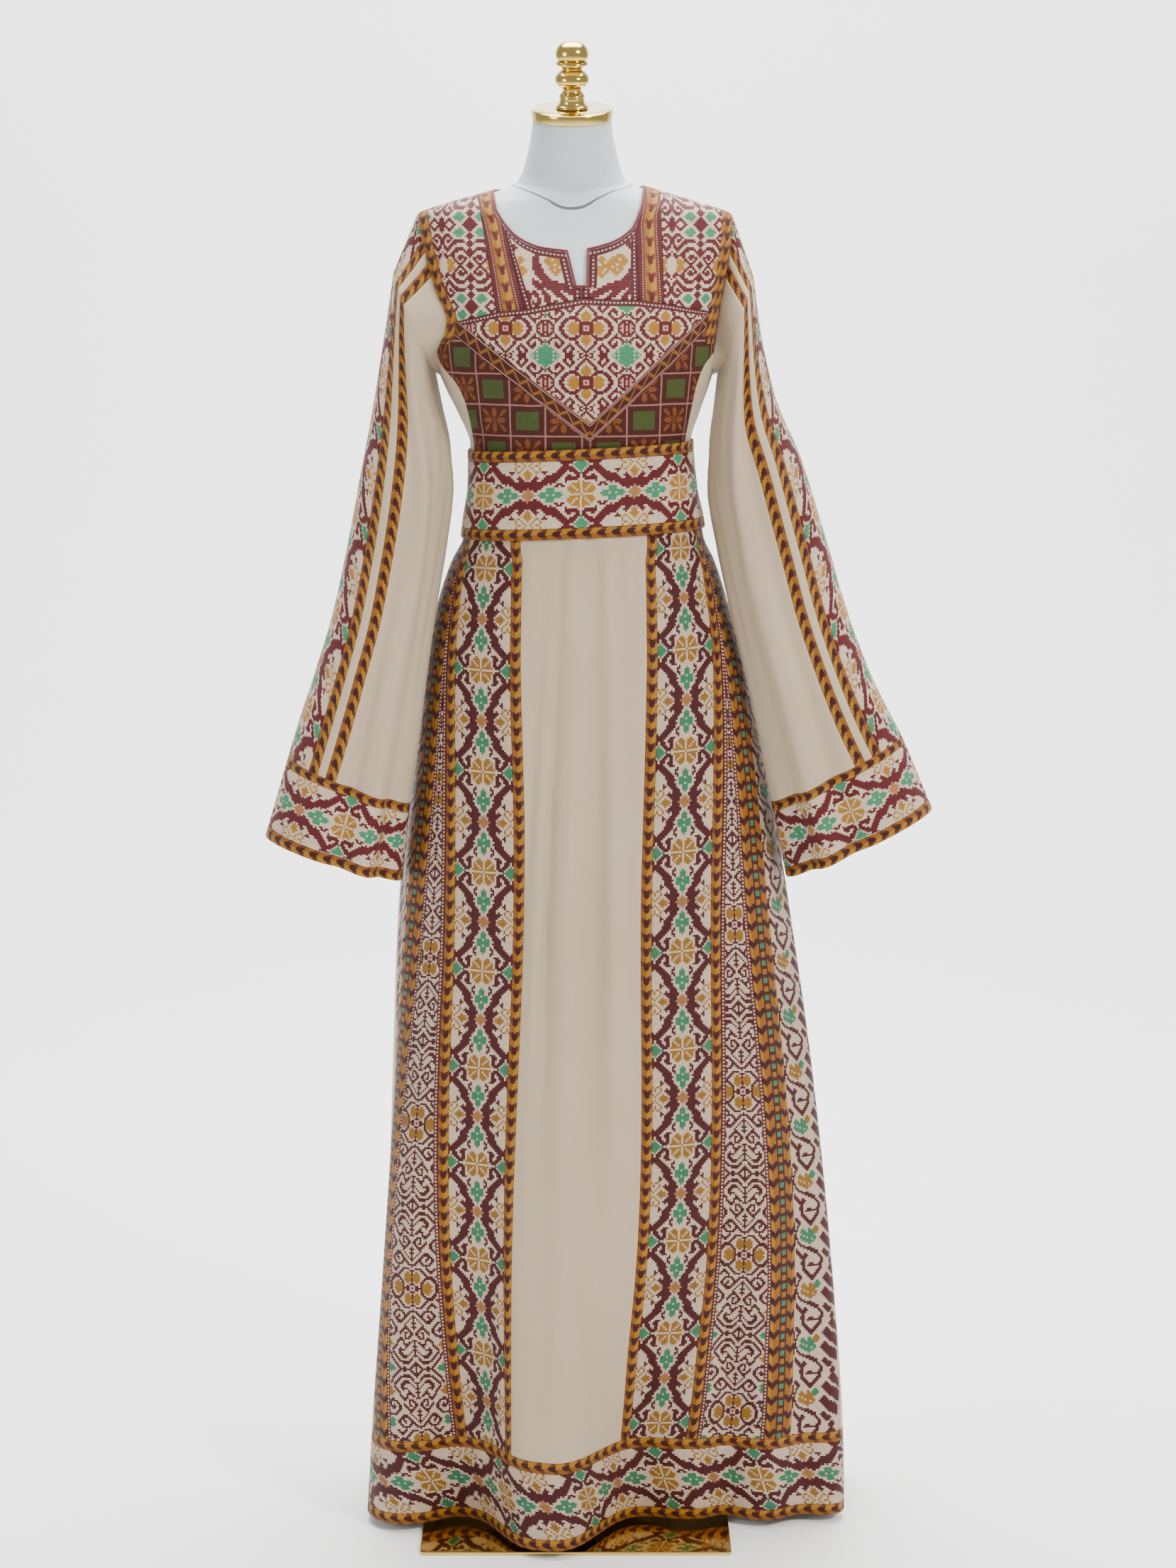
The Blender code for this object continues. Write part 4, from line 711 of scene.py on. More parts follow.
def shell(name: str, wall: Wall) -> Thing:
    """Make a closed shell of cloth from its two walls, with its pattern, edge and bake maps.

    Args:
        name: the new object's name.
        wall: the cloth.

    Returns:
        The object, at the origin.
    """
    inner, outer = wall.inner, wall.outer.copy()
    count_rows, count_columns = inner.shape[:2]
    if not wall.closed:
        for edge in (0, -1):
            outer[:, edge] += (inner[:, edge] - outer[:, edge]) * ROUNDING
    for edge in (0, -1):
        outer[edge] += (inner[edge] - outer[edge]) * ROUNDING
    held = count_columns - 1 if wall.closed else count_columns
    points = np.concatenate([outer[:, :held].reshape(-1, 3), inner[:, :held].reshape(-1, 3)])
    places, edges, width, length = wall.maps()
    strip = strip_places(wall.rows, wall.columns, width, length)

    row, column = np.meshgrid(np.arange(count_rows - 1), np.arange(count_columns - 1), indexing="ij")
    row, column = row.ravel(), column.ravel()
    turns = ((0, 0), (0, 1), (1, 1), (1, 0))
    corner_rows = np.stack([row + r for r, _ in turns], axis=1)
    corner_columns = np.stack([column + c for _, c in turns], axis=1)
    unit = strip(row[:, None], column[:, None], corner_rows, corner_columns)
    blocks = [(corner_rows, corner_columns, np.zeros_like(corner_rows),
               unit * RIGHT_SIDE_BAKE[0] + RIGHT_SIDE_BAKE[1]),
              (corner_rows[:, ::-1], corner_columns[:, ::-1], np.ones_like(corner_rows),
               unit[:, ::-1] * WRONG_SIDE_BAKE[0] + WRONG_SIDE_BAKE[1])]
    rims = [(np.arange(count_columns - 1), 0, 1, 1), (np.arange(count_columns - 1), count_rows - 1, 1, 0)]
    if not wall.closed:
        rims += [(np.arange(count_rows - 1), 0, 0, 0), (np.arange(count_rows - 1), count_columns - 1, 0, 1)]
    for order, (step, fixed, is_row, back) in enumerate(rims):
        round_face = [step + 1, step, step, step + 1] if back else [step, step + 1, step + 1, step]
        ahead = np.stack(round_face, axis=1)
        still = np.full_like(ahead, fixed)
        side = np.tile([0, 0, 1, 1], (len(step), 1))
        shares = (wall.columns if is_row else wall.rows)[ahead]
        low, step_up, tall = RIM_BAKE
        unit = np.stack([0.002 + 0.996 * shares, low + order * step_up + tall * side], axis=2)
        blocks.append((still, ahead, side, unit) if is_row else (ahead, still, side, unit))

    all_rows, all_columns, sides, bake = (np.concatenate([block[part] for block in blocks])
                                          for part in range(4))
    faces = sides * (count_rows * held) + all_rows * held + all_columns % held
    over = (outer[:-1, 1:] - outer[:-1, :-1]).reshape(-1, 3)
    up = (outer[1:, :-1] - outer[:-1, :-1]).reshape(-1, 3)
    facing = (np.cross(over, up) * (outer - inner)[:-1, :-1].reshape(-1, 3)).sum()
    if facing < 0:
        faces, all_rows, all_columns, bake = (part[:, ::-1] for part in (faces, all_rows, all_columns, bake))
    mesh = bpy.data.meshes.new(name)
    mesh.from_pydata(points.tolist(), [], faces.tolist())
    for label, values in ((PATTERN_MAP, places[all_rows, all_columns]),
                          (EDGE_MAP, edges[all_rows, all_columns]), (BAKE_MAP, bake)):
        layer = mesh.uv_layers.new(name=label)
        layer.data.foreach_set("uv", np.ascontiguousarray(values, dtype=np.float32).ravel())
    inside = np.zeros(len(faces), dtype=np.int32)
    inside[len(row):2 * len(row)] = 1
    mesh.polygons.foreach_set("material_index", inside)
    mesh.shade_smooth()
    mesh.set_sharp_from_angle(angle=math.radians(55))
    mesh.update()
    thing = bpy.data.objects.new(name, mesh)
    bpy.context.collection.objects.link(thing)
    return thing


@dataclass
class Wardrobe:
    """All finishes, each made once, and how a finished piece is handed over."""

    made: dict[str, Cloth] = field(default_factory=dict)

    def cloth(self, finish: object) -> Cloth:
        """The finish's material, made the first time it is asked for."""
        if finish.name not in self.made:
            self.made[finish.name] = finish.build()
        return self.made[finish.name]

    def sew(self, node: str, wall: Wall, finish: object,
            lining: object | None = None) -> Thing:
        """Args:
            node: the solid's name, which the piece replaces.
            wall: the piece's two walls.
            finish: the finish of its right side.
            lining: the finish of its wrong side, if it differs.

        Returns:
            The piece.
        """
        piece = shell(f"sewn_{node}", wall)
        piece.data.materials.append(self.cloth(finish))
        piece.data.materials.append(self.cloth(lining or finish))
        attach(piece, "root")
        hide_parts(node)
        return piece


# Threads are about 0.4 mm apart in the real cloth, and 1 mm here, so that the weave shows.
CREAM_CLOTH = PlainCloth("cream silk and cotton cloth", "#B7A58C", "#A39177", 0.001, 0.00012)
WRONG_SIDE = PlainCloth("wrong side of the embroidery", "#CBB9A8", "#B39F8E", 0.0012, 0.00015)
MAROON_LINING = PlainCloth("maroon cotton lining", "#5A141B", "#3E0C12", 0.001, 0.0001, 0.15)
BINDING_CLOTH = PlainCloth("dark red binding", "#7A262C", "#5C181F", 0.0009, 0.00012, 0.15)
GREAT_BAND = CrossStitch("great band in cross-stitch", ROSETTE_BAND, CREAM, TOP_THREADS)
LOW_BAND = CrossStitch("great band in darker cross-stitch", ROSETTE_BAND, LOW_CREAM, LOW_THREADS)
ARROWS = CrossStitch("chevron stripe in cross-stitch", ARROW_STRIPE, OCHRE,
                     {"r": "#3C0709", "o": "#945A10", "t": "#B07818", "k": "#6A3610"})
CHEST_LACE = CrossStitch("chest lace in cross-stitch", FLOWER_LACE, CREAM, TOP_THREADS, frame="#521016",
                         frame_width=0.008, frame_sides="t")
GORE_LACE = CrossStitch("gore lace in cross-stitch", GORE, LOW_CREAM, LOW_THREADS, frame="#5A2024",
                        frame_width=0.005, frame_sides="s")
SHOULDER_LACE = CrossStitch("shoulder lace in cross-stitch", CLUSTER, CREAM, TOP_THREADS)
LOWER_CHEST = CrossStitch("lower chest in cross-stitch", LATTICE, BROWN,
                          {"e": DEEP_GREEN, "o": "#7A3E0E", "p": "#9C685A"})
V_BORDER = CrossStitch("zigzag border in cross-stitch", ZIGZAG, BROWN, {"o": "#8C5814", "p": "#BE8C7E"})
NECK_STRIPE = CrossStitch("neck stripe in cross-stitch", NECK_BAND, OCHRE,
                          {"r": "#5E1319", "o": "#A06818", "t": "#BC8428", "p": "#CFA898", "k": "#7C4218"})
NECK_YOKE = CrossStitch("neck yoke in cross-stitch", SPRAY, CREAM, TOP_THREADS, frame="#521016",
                        frame_width=0.009, frame_sides="st")
TILE_BAND = CrossStitch("tile band in cross-stitch", TILES, "#4A1A14",
                        {"e": "#3A7A58", "y": "#9A6418", "t": "#B07818", "o": "#945A10", "r": "#3C0709",
                         "k": "#3A100C"})
VINE_BAND = CrossStitch("vine band in cross-stitch", VINE, LOW_CREAM, LOW_THREADS)


# ---------------------------------------------------------------- the figure the cloth lies on


@dataclass(frozen=True)
class Figure:
    """The body's sections: height, middle x, half width, front depth, back depth."""

    sections: Table = (
        (1.12, 0.009, 0.135, 0.101, 0.092),
        (1.146, 0.009, 0.134, 0.0995, 0.0895),
        (1.17, 0.0087, 0.131, 0.098, 0.087),
        (1.204, 0.0075, 0.1245, 0.0965, 0.0855),
        (1.25, 0.0055, 0.1225, 0.101, 0.088),
        (1.287, 0.0035, 0.1345, 0.11, 0.092),
        (1.315, 0.0015, 0.1463, 0.12, 0.095),
        (1.35, 0.0000, 0.1577, 0.128, 0.0985),
        (1.385, 0.0000, 0.1624, 0.121, 0.1005),
        (1.42, 0.0000, 0.1684, 0.108, 0.101),
        (1.447, 0.0000, 0.1741, 0.095, 0.098),
        (1.47, 0.0000, 0.1779, 0.084, 0.092),
        (1.49, -0.0005, 0.1779, 0.073, 0.081),
        (1.503, -0.0009, 0.1745, 0.067, 0.0735),
        (1.516, -0.0013, 0.1404, 0.061, 0.067),
        (1.5295, -0.0002, 0.0934, 0.056, 0.06),
        (1.535, -0.002, 0.0778, 0.0535, 0.057),
        (1.54, -0.004, 0.064, 0.0515, 0.0545),
        (1.546, -0.004, 0.0585, 0.05, 0.0525),
    )
    power: float = 2.3
    ridge_low: float = 1.495
    ridge_high: float = 1.544

    def ridge(self, x: float | Points) -> Points:
        """Height of the shoulder's ridge, where front and back meet."""
        heights = np.linspace(self.ridge_high, self.ridge_low, 400)
        middle, half = smooth(self.sections, heights)[:, :2].T
        x = np.asarray(x, dtype=float)
        left = np.interp(np.abs(x), np.abs(middle - half), heights)
        right = np.interp(np.abs(x), np.abs(middle + half), heights)
        return np.where(x < 0, left, right)

    def laid(self, x: float | Points, z: float | Points, front: bool = True) -> Points:
        """Points on the body's front or back at front-view places, no higher than the ridge."""
        x, z = np.asarray(x, dtype=float), np.asarray(z, dtype=float)
        z = np.where(z > self.ridge_low, np.minimum(z, self.ridge(x)), z)
        middle, half, before, behind = np.moveaxis(smooth(self.sections, z), -1, 0)
        share = (1 - np.minimum(np.abs(x - middle) / half, 1.0) ** self.power) ** (1 / self.power)
        depth = np.maximum((before if front else behind) * share, SEAM / 2)
        return np.stack([x + 0 * z, -depth if front else depth, z + 0 * x], axis=-1)

    def arc(self, x: Points, z: Points, start: float) -> Points:
        """Length over the front at one height, from a place to x, positive to the right."""
        way = start + (x - start)[..., None] * np.linspace(0, 1, 33)
        steps = np.diff(self.laid(way, np.repeat(z[..., None], 33, axis=-1)), axis=-2)
        return np.sign(x - start) * np.linalg.norm(steps, axis=-1).sum(axis=-1)

    def turned(self, degrees: float | Points, z: float | Points) -> Points:
        """Points on the body at angles from the front middle, positive to the right."""
        middle, half, before, behind = np.moveaxis(smooth(self.sections, z), -1, 0)
        angle = np.radians(degrees)
        s, c = np.sin(angle), np.cos(angle)
        x = middle + half * np.sign(s) * np.abs(s) ** (2 / self.power)
        y = np.where(c > 0, -before, behind) * np.abs(c) ** (2 / self.power)
        return np.stack([x, y + 0 * x, z + 0 * x], axis=-1)

    def angle(self, x: float, z: float) -> float:
        """Angle from the front middle of a front point of the body."""
        middle, half = smooth(self.sections, z)[:2]
        across = min(abs(x - middle) / half, 1.0)
        return math.copysign(math.degrees(math.asin(across ** (self.power / 2))), x - middle)

    def normal(self, points: Points) -> Points:
        """Outward directions of the body at points of its surface."""
        points = np.asarray(points, dtype=float)
        in_front = points[..., 1] < 0

        def level(place: Points) -> Points:
            middle, half, before, behind = np.moveaxis(smooth(self.sections, place[..., 2]), -1, 0)
            depth = np.where(in_front, before, behind)
            return ((np.abs(place[..., 0] - middle) / half) ** self.power
                    + (np.abs(place[..., 1]) / depth) ** self.power)

        slope = np.zeros_like(points)
        for axis in range(3):
            step = np.zeros(3)
            step[axis] = 1e-4
            slope[..., axis] = level(points + step) - level(points - step)
        return slope / np.linalg.norm(slope, axis=-1, keepdims=True)


FIGURE = Figure()
SIDES = ("left", "right")


@dataclass
class Bodice:
    """The embroidered front, the plain sides and back, and the neck binding."""

    bib_edge: Table = (
        (1.204, -0.1085, 0.1165),
        (1.255, -0.1127, 0.1211),
        (1.297, -0.12, 0.1286),
        (1.32, -0.1299, 0.1335),
        (1.343, -0.1492, 0.1429),
        (1.353, -0.1522, 0.1524),
        (1.373, -0.1429, 0.1549),
        (1.388, -0.1401, 0.1567),
        (1.42, -0.1529, 0.1624),
        (1.447, -0.1609, 0.1677),
        (1.475, -0.1682, 0.1718),
        (1.503, -0.174, 0.1733),
    )
    low_edge: float = 1.204
    top_edge: float = 1.503
    side_points: int = 25
    bust_fold: float = 1.353
    border_end: float = 1.363
    chest_ends: tuple = (1.388, 1.3985)
    v_ends: tuple = (1.373, 1.38)
    chest_seam: tuple = ((-0.0855, 1.398), (-0.0548, 1.4015), (0.007, 1.413), (0.0692, 1.411),
                         (0.0968, 1.4075))
    v_point: tuple = (0.016, 1.279)
    v_border_point: tuple = (0.016, 1.258)
    stripe_tops: tuple = ((-0.107, -0.0925), (0.093, 0.0775))
    necklines: tuple = (
        ((-0.088, 1.507), (-0.0785, 1.4925), (-0.0645, 1.478), (-0.045, 1.468), (-0.028, 1.4645),
         (-0.01, 1.4624)),
        ((0.0749, 1.512), (0.0663, 1.491), (0.058, 1.482), (0.0468, 1.4745), (0.031, 1.4685),
         (0.0154, 1.4647)),
    )
    slit: tuple = ((-0.0005, 1.4245), (0.007, 1.4245), (0.0147, 1.4245))
    back_neck: float = 1.531
    back_places: tuple = (0.0, 0.012, 0.05, 0.12, 0.22, 0.35, 0.5, 0.65, 0.78, 0.88, 0.95, 0.988, 1.0)
    back_armhole: Table = ((1.35, 0.1444), (1.385, 0.1418), (1.42, 0.1456), (1.447, 0.152),
                           (1.475, 0.1623), (1.503, 0.1735))
    side_angle: float = 115.0
    flower_height: float = 1.381
    square_place: tuple = (0.0645, 1.2815)
    panel_places: dict = field(default_factory=lambda: {NECK_YOKE.name: (0.004, 1.398),
                                                        SHOULDER_LACE.name: (0.128, 1.448)})
    underarm: float = 1.326
    underarm_turns: tuple = (76.0, 90.0, 104.0)
    underarm_rises: tuple = (0.01, 0.0, 0.01)
    creases: tuple = (
        (-0.118, 1.33, 35.0, 0.0035, 0.03, 0.0014),
        (-0.1, 1.3, 20.0, 0.0045, 0.034, -0.001),
        (0.122, 1.335, -30.0, 0.0035, 0.03, 0.0014),
        (0.104, 1.302, -15.0, 0.0045, 0.036, -0.001),
        (-0.045, 1.305, 75.0, 0.006, 0.03, 0.0009),
        (0.06, 1.3, -80.0, 0.006, 0.03, 0.0009),
        (-0.12, 1.45, 62.0, 0.006, 0.032, 0.001),
        (0.128, 1.452, -60.0, 0.006, 0.032, 0.001),
    )

    def edge_x(self, side: int, z: float | Points) -> Points:
        """Edge of the bib at a height."""
        return smooth(self.bib_edge, z)[..., side]

    def inward(self, side: int) -> float:
        """Direction of x towards the middle, from a side."""
        return 1.0 if side == 0 else -1.0

    def bib_line(self, side: int, inset: float, low: float, steps: int = 36) -> Line:
        """The bib's edge from a height up to the ridge, moved in by inset."""
        top = float(FIGURE.ridge(float(self.edge_x(side, self.top_edge)) + self.inward(side) * inset))
        heights = low + (top - low) * (1 - (1 - np.linspace(0, 1, steps + 1)) ** 2)
        return [(float(self.edge_x(side, z)) + self.inward(side) * inset, float(z)) for z in heights]

    def ridge_line(self, x_from: float, x_to: float, steps: int = 16) -> Line:
        """Points along the shoulder's ridge."""
        return [(float(x), float(FIGURE.ridge(x))) for x in np.linspace(x_from, x_to, steps + 1)]

    def rising(self, start: tuple, top_x: float, steps: int = 18) -> Line:
        """A straight line from a point to the ridge, its points closer together near the ridge."""
        shares = 1 - (1 - np.linspace(0, 1, steps + 1)) ** 2
        top = float(FIGURE.ridge(top_x))
        return [(start[0] + (top_x - start[0]) * s, start[1] + (top - start[1]) * s) for s in shares]

    def inner_edge(self, side: int, z: float) -> tuple[float, float]:
        """Where a line at a height meets the armhole border's inner edge."""
        return float(self.edge_x(side, z)) + self.inward(side) * STRIPE, z

    def side_line(self, side: int) -> Line:
        """The bib's edge from its lowest point up to the bust fold."""
        return [(float(self.edge_x(side, z)), float(z))
                for z in np.linspace(self.low_edge, self.bust_fold, self.side_points)]

    def under_line(self, side: int) -> Line:
        """The armhole's lowest stretch, from the bust fold to the back, as angles and heights."""
        turn = -self.inward(side)
        x, z = self.side_line(side)[-1]
        corners = [(FIGURE.angle(x, z), z)]
        corners += [(turn * angle, self.underarm + rise)
                    for angle, rise in zip(self.underarm_turns, self.underarm_rises)]
        corners.append((turn * self.side_angle, self.back_armhole[0][0]))
        return [tuple(along(corners, share)) for share in np.linspace(0, 1, 33)]

    def back_edge(self, side: int) -> tuple[Line, Line]:
        """Outer edge of the bodice back: the side seam, and the armhole up to the ridge."""
        turn = -self.inward(side)
        low = self.back_armhole[0][0]
        seam = [tuple(FIGURE.turned(turn * self.side_angle, z)[[0, 2]])
                for z in np.linspace(self.low_edge, low, self.side_points)]
        top_x = float(self.edge_x(side, self.top_edge))
        top = float(FIGURE.ridge(top_x))
        heights = low + (top - low) * (1 - (1 - np.linspace(0, 1, 37)[1:]) ** 2)
        armhole = [(turn * float(smooth(self.back_armhole, z)[0]), float(z)) for z in heights]
        armhole[-1] = (top_x, top)
        return seam, armhole

    def back_neckline(self) -> Line:
        """The back neckline from the left shoulder to the right one."""
        left, right = self.stripe_tops[0][1], self.stripe_tops[1][1]
        lows, highs = float(FIGURE.ridge(left)), float(FIGURE.ridge(right))
        line = []
        for share in self.back_places:
            shoulder = lows + (highs - lows) * share
            dip = math.sin(math.pi * share) ** 0.6
            line.append((left + (right - left) * share,
                         shoulder + (self.back_neck - shoulder) * dip - 0.0004 * dip))
        return line

    def relief(self, points: Points) -> Points:
        """Height of the soft creases at points of the front, fading towards the armholes."""
        x, z = points[..., 0], points[..., 2]
        total = 0.00045 * np.sin(x * 61 + 1.3) * np.sin(z * 47 + 0.4) + 0.0003 * np.sin(x * 143 - z * 90)
        for at_x, at_z, degrees, width, length, height in self.creases:
            c, s = math.cos(math.radians(degrees)), math.sin(math.radians(degrees))
            run, off = (x - at_x) * c + (z - at_z) * s, (z - at_z) * c - (x - at_x) * s
            total += height * np.exp(-((off / width) ** 2) - (run / length) ** 2)
        left, right = self.edge_x(0, z), self.edge_x(1, z)
        reach = np.clip(np.minimum(x - left, right - x) / 0.02, 0, 1)
        fade = reach * np.clip((z - 1.262) / 0.02, 0, 1) * np.clip((1.495 - z) / 0.03, 0, 1)
        return total * fade * (points[..., 1] < 0)

    def wall(self, grid: Points, rows: Points, columns: Points, place: Callable) -> Wall:
        """Lay a flat grid on the body and give it its thickness."""
        points = place(grid[..., 0], grid[..., 1])
        normal = FIGURE.normal(points)
        inner = points + normal * self.relief(points)[..., None]
        return Wall(inner, inner + normal * WALL, rows, columns)

    def front(self, store: Wardrobe, name: str, edges: Sequence[Line], size: tuple[float, float],
              finish: CrossStitch, slot: str, with_pieces: Sequence[Thing] = ()) -> None:
        """Sew a piece of the embroidered front.

        Args:
            store: the finishes.
            name: the solid's name.
            edges: its lower, upper, left and right edge.
            size: its rough width and length, for the grid.
            finish: its embroidery.
            slot: a material slot's name; not used.
            with_pieces: the trims on it; not used.
        """
        columns, rows = shares_of(size[0]), shares_of(size[1])
        grid = coons(*edges, columns, rows)
        wall = self.wall(grid, rows, columns, FIGURE.laid)
        wall.turned = finish is V_BORDER
        middle = self.v_point[0] - 0.004
        arc = FIGURE.arc(grid[..., 0], grid[..., 1], middle)
        if finish is CHEST_LACE:
            wall.pattern = np.stack([arc, grid[..., 1] - self.flower_height], axis=2)
        elif finish is LOWER_CHEST:
            wall.pattern = np.stack([np.abs(arc), grid[..., 1]], axis=2) - np.array(self.square_place)
        elif finish in (NECK_YOKE, SHOULDER_LACE):
            origin = np.array(self.panel_places[finish.name])
            wall.pattern = np.stack([np.abs(arc), grid[..., 1]], axis=2) - origin
        store.sew(name, wall, finish, WRONG_SIDE)

    def bib(self, store: Wardrobe, side: int, binding: Thing) -> None:
        """Sew the embroidered pieces of one side of the front."""
        word = SIDES[side]

        def piece(name: str, lower: Line, upper: Line, outside: Line, inside: Line, size: tuple,
                  finish: CrossStitch, slot: str, trims: Sequence = ()) -> None:
            edges = (lower, upper, outside, inside)
            if side == 1:
                edges = (lower[::-1], upper[::-1], inside, outside)
            self.front(store, f"{name}_{word}", edges, size, finish, slot, trims)

        low = [tuple(along([(0, self.border_end), (0, self.v_ends[side])], s))
               for s in np.linspace(0, 1, 5)]
        low_outside = [(float(self.edge_x(side, z)), float(z)) for _, z in low]
        low_inside = [(x + self.inward(side) * STRIPE, z) for x, z in low_outside]
        outside = low_outside + self.bib_line(side, 0.0, self.chest_ends[side])
        inside = low_inside + self.bib_line(side, STRIPE, self.chest_ends[side])
        piece("armhole_border", [outside[0], inside[0]], [outside[-1], inside[-1]], outside, inside,
              (STRIPE, 0.17), ARROWS, "gold_stripe")

        outer_top, inner_top = self.stripe_tops[side]
        seam = list(self.chest_seam[:2]) if side == 0 else list(self.chest_seam[::-1][:2])
        seam_end, v_end = (self.inner_edge(side, z[side]) for z in (self.chest_ends, self.v_ends))
        panel_inside = self.rising(seam[0], outer_top)
        piece("shoulder_panel", [seam_end, seam[0]], self.ridge_line(inside[-1][0], outer_top),
              self.bib_line(side, STRIPE, self.chest_ends[side]), panel_inside, (0.055, 0.13),
              SHOULDER_LACE, "lace_embroidery")

        steps = 6
        neck = rounded(list(self.necklines[side]), steps)
        stretch = [tuple(along([seam[1], neck[steps]], s)) for s in np.linspace(0, 1, 5 * steps + 1)]
        rise = self.rising(neck[0], inner_top, 3 * steps)
        piece("neck_stripe", seam, self.ridge_line(outer_top, inner_top), panel_inside,
              stretch + neck[steps - 1::-1] + rise[1:], (0.024, 0.15), NECK_STRIPE, "gold_stripe")

        slit = [self.slit[1], self.slit[0] if side == 0 else self.slit[2], self.necklines[side][-1]]
        middle = self.chest_seam[2]
        beside = [tuple(along([seam[1], neck[steps]], share)) for share in (0.0, 0.08, 0.16, 1.0)]
        piece("neck_yoke", [seam[1], middle], neck[steps:], beside, [middle] + slit, (0.064, 0.07),
              NECK_YOKE, "red_embroidery", trims=[binding])

        piece("v_border", [v_end, self.v_border_point], [seam_end, self.v_point], [v_end, seam_end],
              [self.v_border_point, self.v_point], (0.155, 0.021), V_BORDER, "brown_embroidery")

        edge = self.side_line(side) + [outside[0]]
        top = [outside[0], inside[0], v_end]
        top += [tuple(along([v_end, self.v_border_point], s)) for s in np.linspace(0, 1, 9)[1:]]
        floor = (self.v_point[0], edge[0][1])
        piece("lower_chest", [edge[0], floor], top, edge, [floor, self.v_border_point], (0.15, 0.14),
              LOWER_CHEST, "brown_embroidery")

    def v_yoke(self, store: Wardrobe) -> None:
        """Sew the embroidered V between the chest seam and the V borders."""
        ends = [self.inner_edge(side, self.chest_ends[side]) for side in (0, 1)]
        corners = [ends[0]] + list(self.chest_seam) + [ends[1]]
        seam = [corners[0]]
        for start, end, steps in zip(corners, corners[1:], (3, 2, 4, 4, 2, 3)):
            seam += [tuple(along([start, end], step / steps)) for step in range(1, steps + 1)]
        x, z = self.v_point
        tip = [(x - 0.002, z + 0.0015), (x + 0.002, z + 0.0015)]
        edges = (tip, seam, [self.v_point, ends[0]], [self.v_point, ends[1]])
        self.front(store, "v_yoke", edges, (0.27, 0.13), CHEST_LACE, "lace_embroidery")

    def side(self, store: Wardrobe, side: int) -> None:
        """Sew the plain piece under the arm, from the bib's edge round to the back."""
        turn = -self.inward(side)
        scale = 1.0 / 500.0  # flat metres for a degree round the body
        front = [(FIGURE.angle(x, z), z) for x, z in self.side_line(side)]
        back = [(turn * self.side_angle, float(z))
                for z in np.linspace(self.low_edge, self.back_armhole[0][0], self.side_points)]
        edges = [[(angle * scale, z) for angle, z in line]
                 for line in ([front[0], back[0]], self.under_line(side), front, back)]
        if side == 0:
            edges = [edges[0][::-1], edges[1][::-1], edges[3], edges[2]]
        columns, rows = shares_of(0.13), shares_of(0.14)
        wall = self.wall(coons(*edges, columns, rows), rows, columns,
                         lambda a, z: FIGURE.turned(a / scale, z))
        store.sew(f"bodice_side_{SIDES[side]}", wall, CREAM_CLOTH)

    def back(self, store: Wardrobe) -> None:
        """Sew the plain back."""
        (left_seam, left_arm), (right_seam, right_arm) = self.back_edge(0), self.back_edge(1)
        neck = self.back_neckline()
        upper = self.ridge_line(left_arm[-1][0], neck[0][0], 3)[:-1] + neck
        upper += self.ridge_line(neck[-1][0], right_arm[-1][0], 3)[1:]
        columns, rows = shares_of(0.3), shares_of(0.33)
        edges = ([left_seam[0], right_seam[0]], upper, left_seam + left_arm, right_seam + right_arm)
        wall = self.wall(coons(*edges, columns, rows), rows, columns,
                         lambda x, z: FIGURE.laid(x, z, False))
        store.sew("bodice_back", wall, CREAM_CLOTH)

    def binding(self, store: Wardrobe, width: float = 0.003, thick: float = 0.0018) -> Thing:
        """Make the narrow rolled binding round the neckline and down the slit."""
        tops = [self.stripe_tops[side][1] for side in (0, 1)]
        left, right = (rounded(list(line)) for line in self.necklines)
        front = self.rising(left[0], tops[0], 6)[:0:-1] + left + list(self.slit) + right[::-1]
        front += self.rising(right[0], tops[1], 6)[1:]
        behind = rounded(self.back_neckline()[::-1], 3)[1:-1]
        path = np.vstack([FIGURE.laid(*np.array(front).T), FIGURE.laid(*np.array(behind).T, False)])
        normal = FIGURE.normal(path)
        first, second = path - np.roll(path, 1, axis=0), np.roll(path, -1, axis=0) - path
        first /= np.linalg.norm(first, axis=1)[:, None]
        second /= np.linalg.norm(second, axis=1)[:, None]
        towards = np.cross(first + second, normal)
        towards /= np.linalg.norm(towards, axis=1)[:, None]
        widen = 1 / np.maximum(0.6, np.abs((towards * np.cross(first, normal)).sum(axis=1)))
        shares = np.linspace(0, 1, 7)
        reach = SEAM + (width - SEAM) * shares
        round_over = 0.35 + 0.65 * np.sin(np.pi * np.clip(shares, 0.08, 0.92))
        inner = path[None] - towards[None] * (reach[:, None] * widen)[..., None]
        outer = inner + normal[None] * (thick * round_over)[:, None, None]
        inner, outer = (np.concatenate([grid, grid[:, :1]], axis=1) for grid in (inner, outer))
        wall = Wall(inner, outer, shares, np.linspace(0, 1, inner.shape[1]), closed=True)
        piece = shell("sewn_neck_binding", wall)
        for _ in range(2):
            piece.data.materials.append(store.cloth(BINDING_CLOTH))
        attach(piece, "root")
        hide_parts("neck_binding")
        log.info("%s: %d points round", piece.name, inner.shape[1])
        return piece

    def build(self, store: Wardrobe) -> None:
        """Build the whole bodice."""
        binding = self.binding(store)
        self.v_yoke(store)
        for side in (0, 1):
            self.bib(store, side, binding)
            self.side(store, side)
        self.back(store)


# ---------------------------------------------------------------- tubes: skirt, hem, belt, sleeves


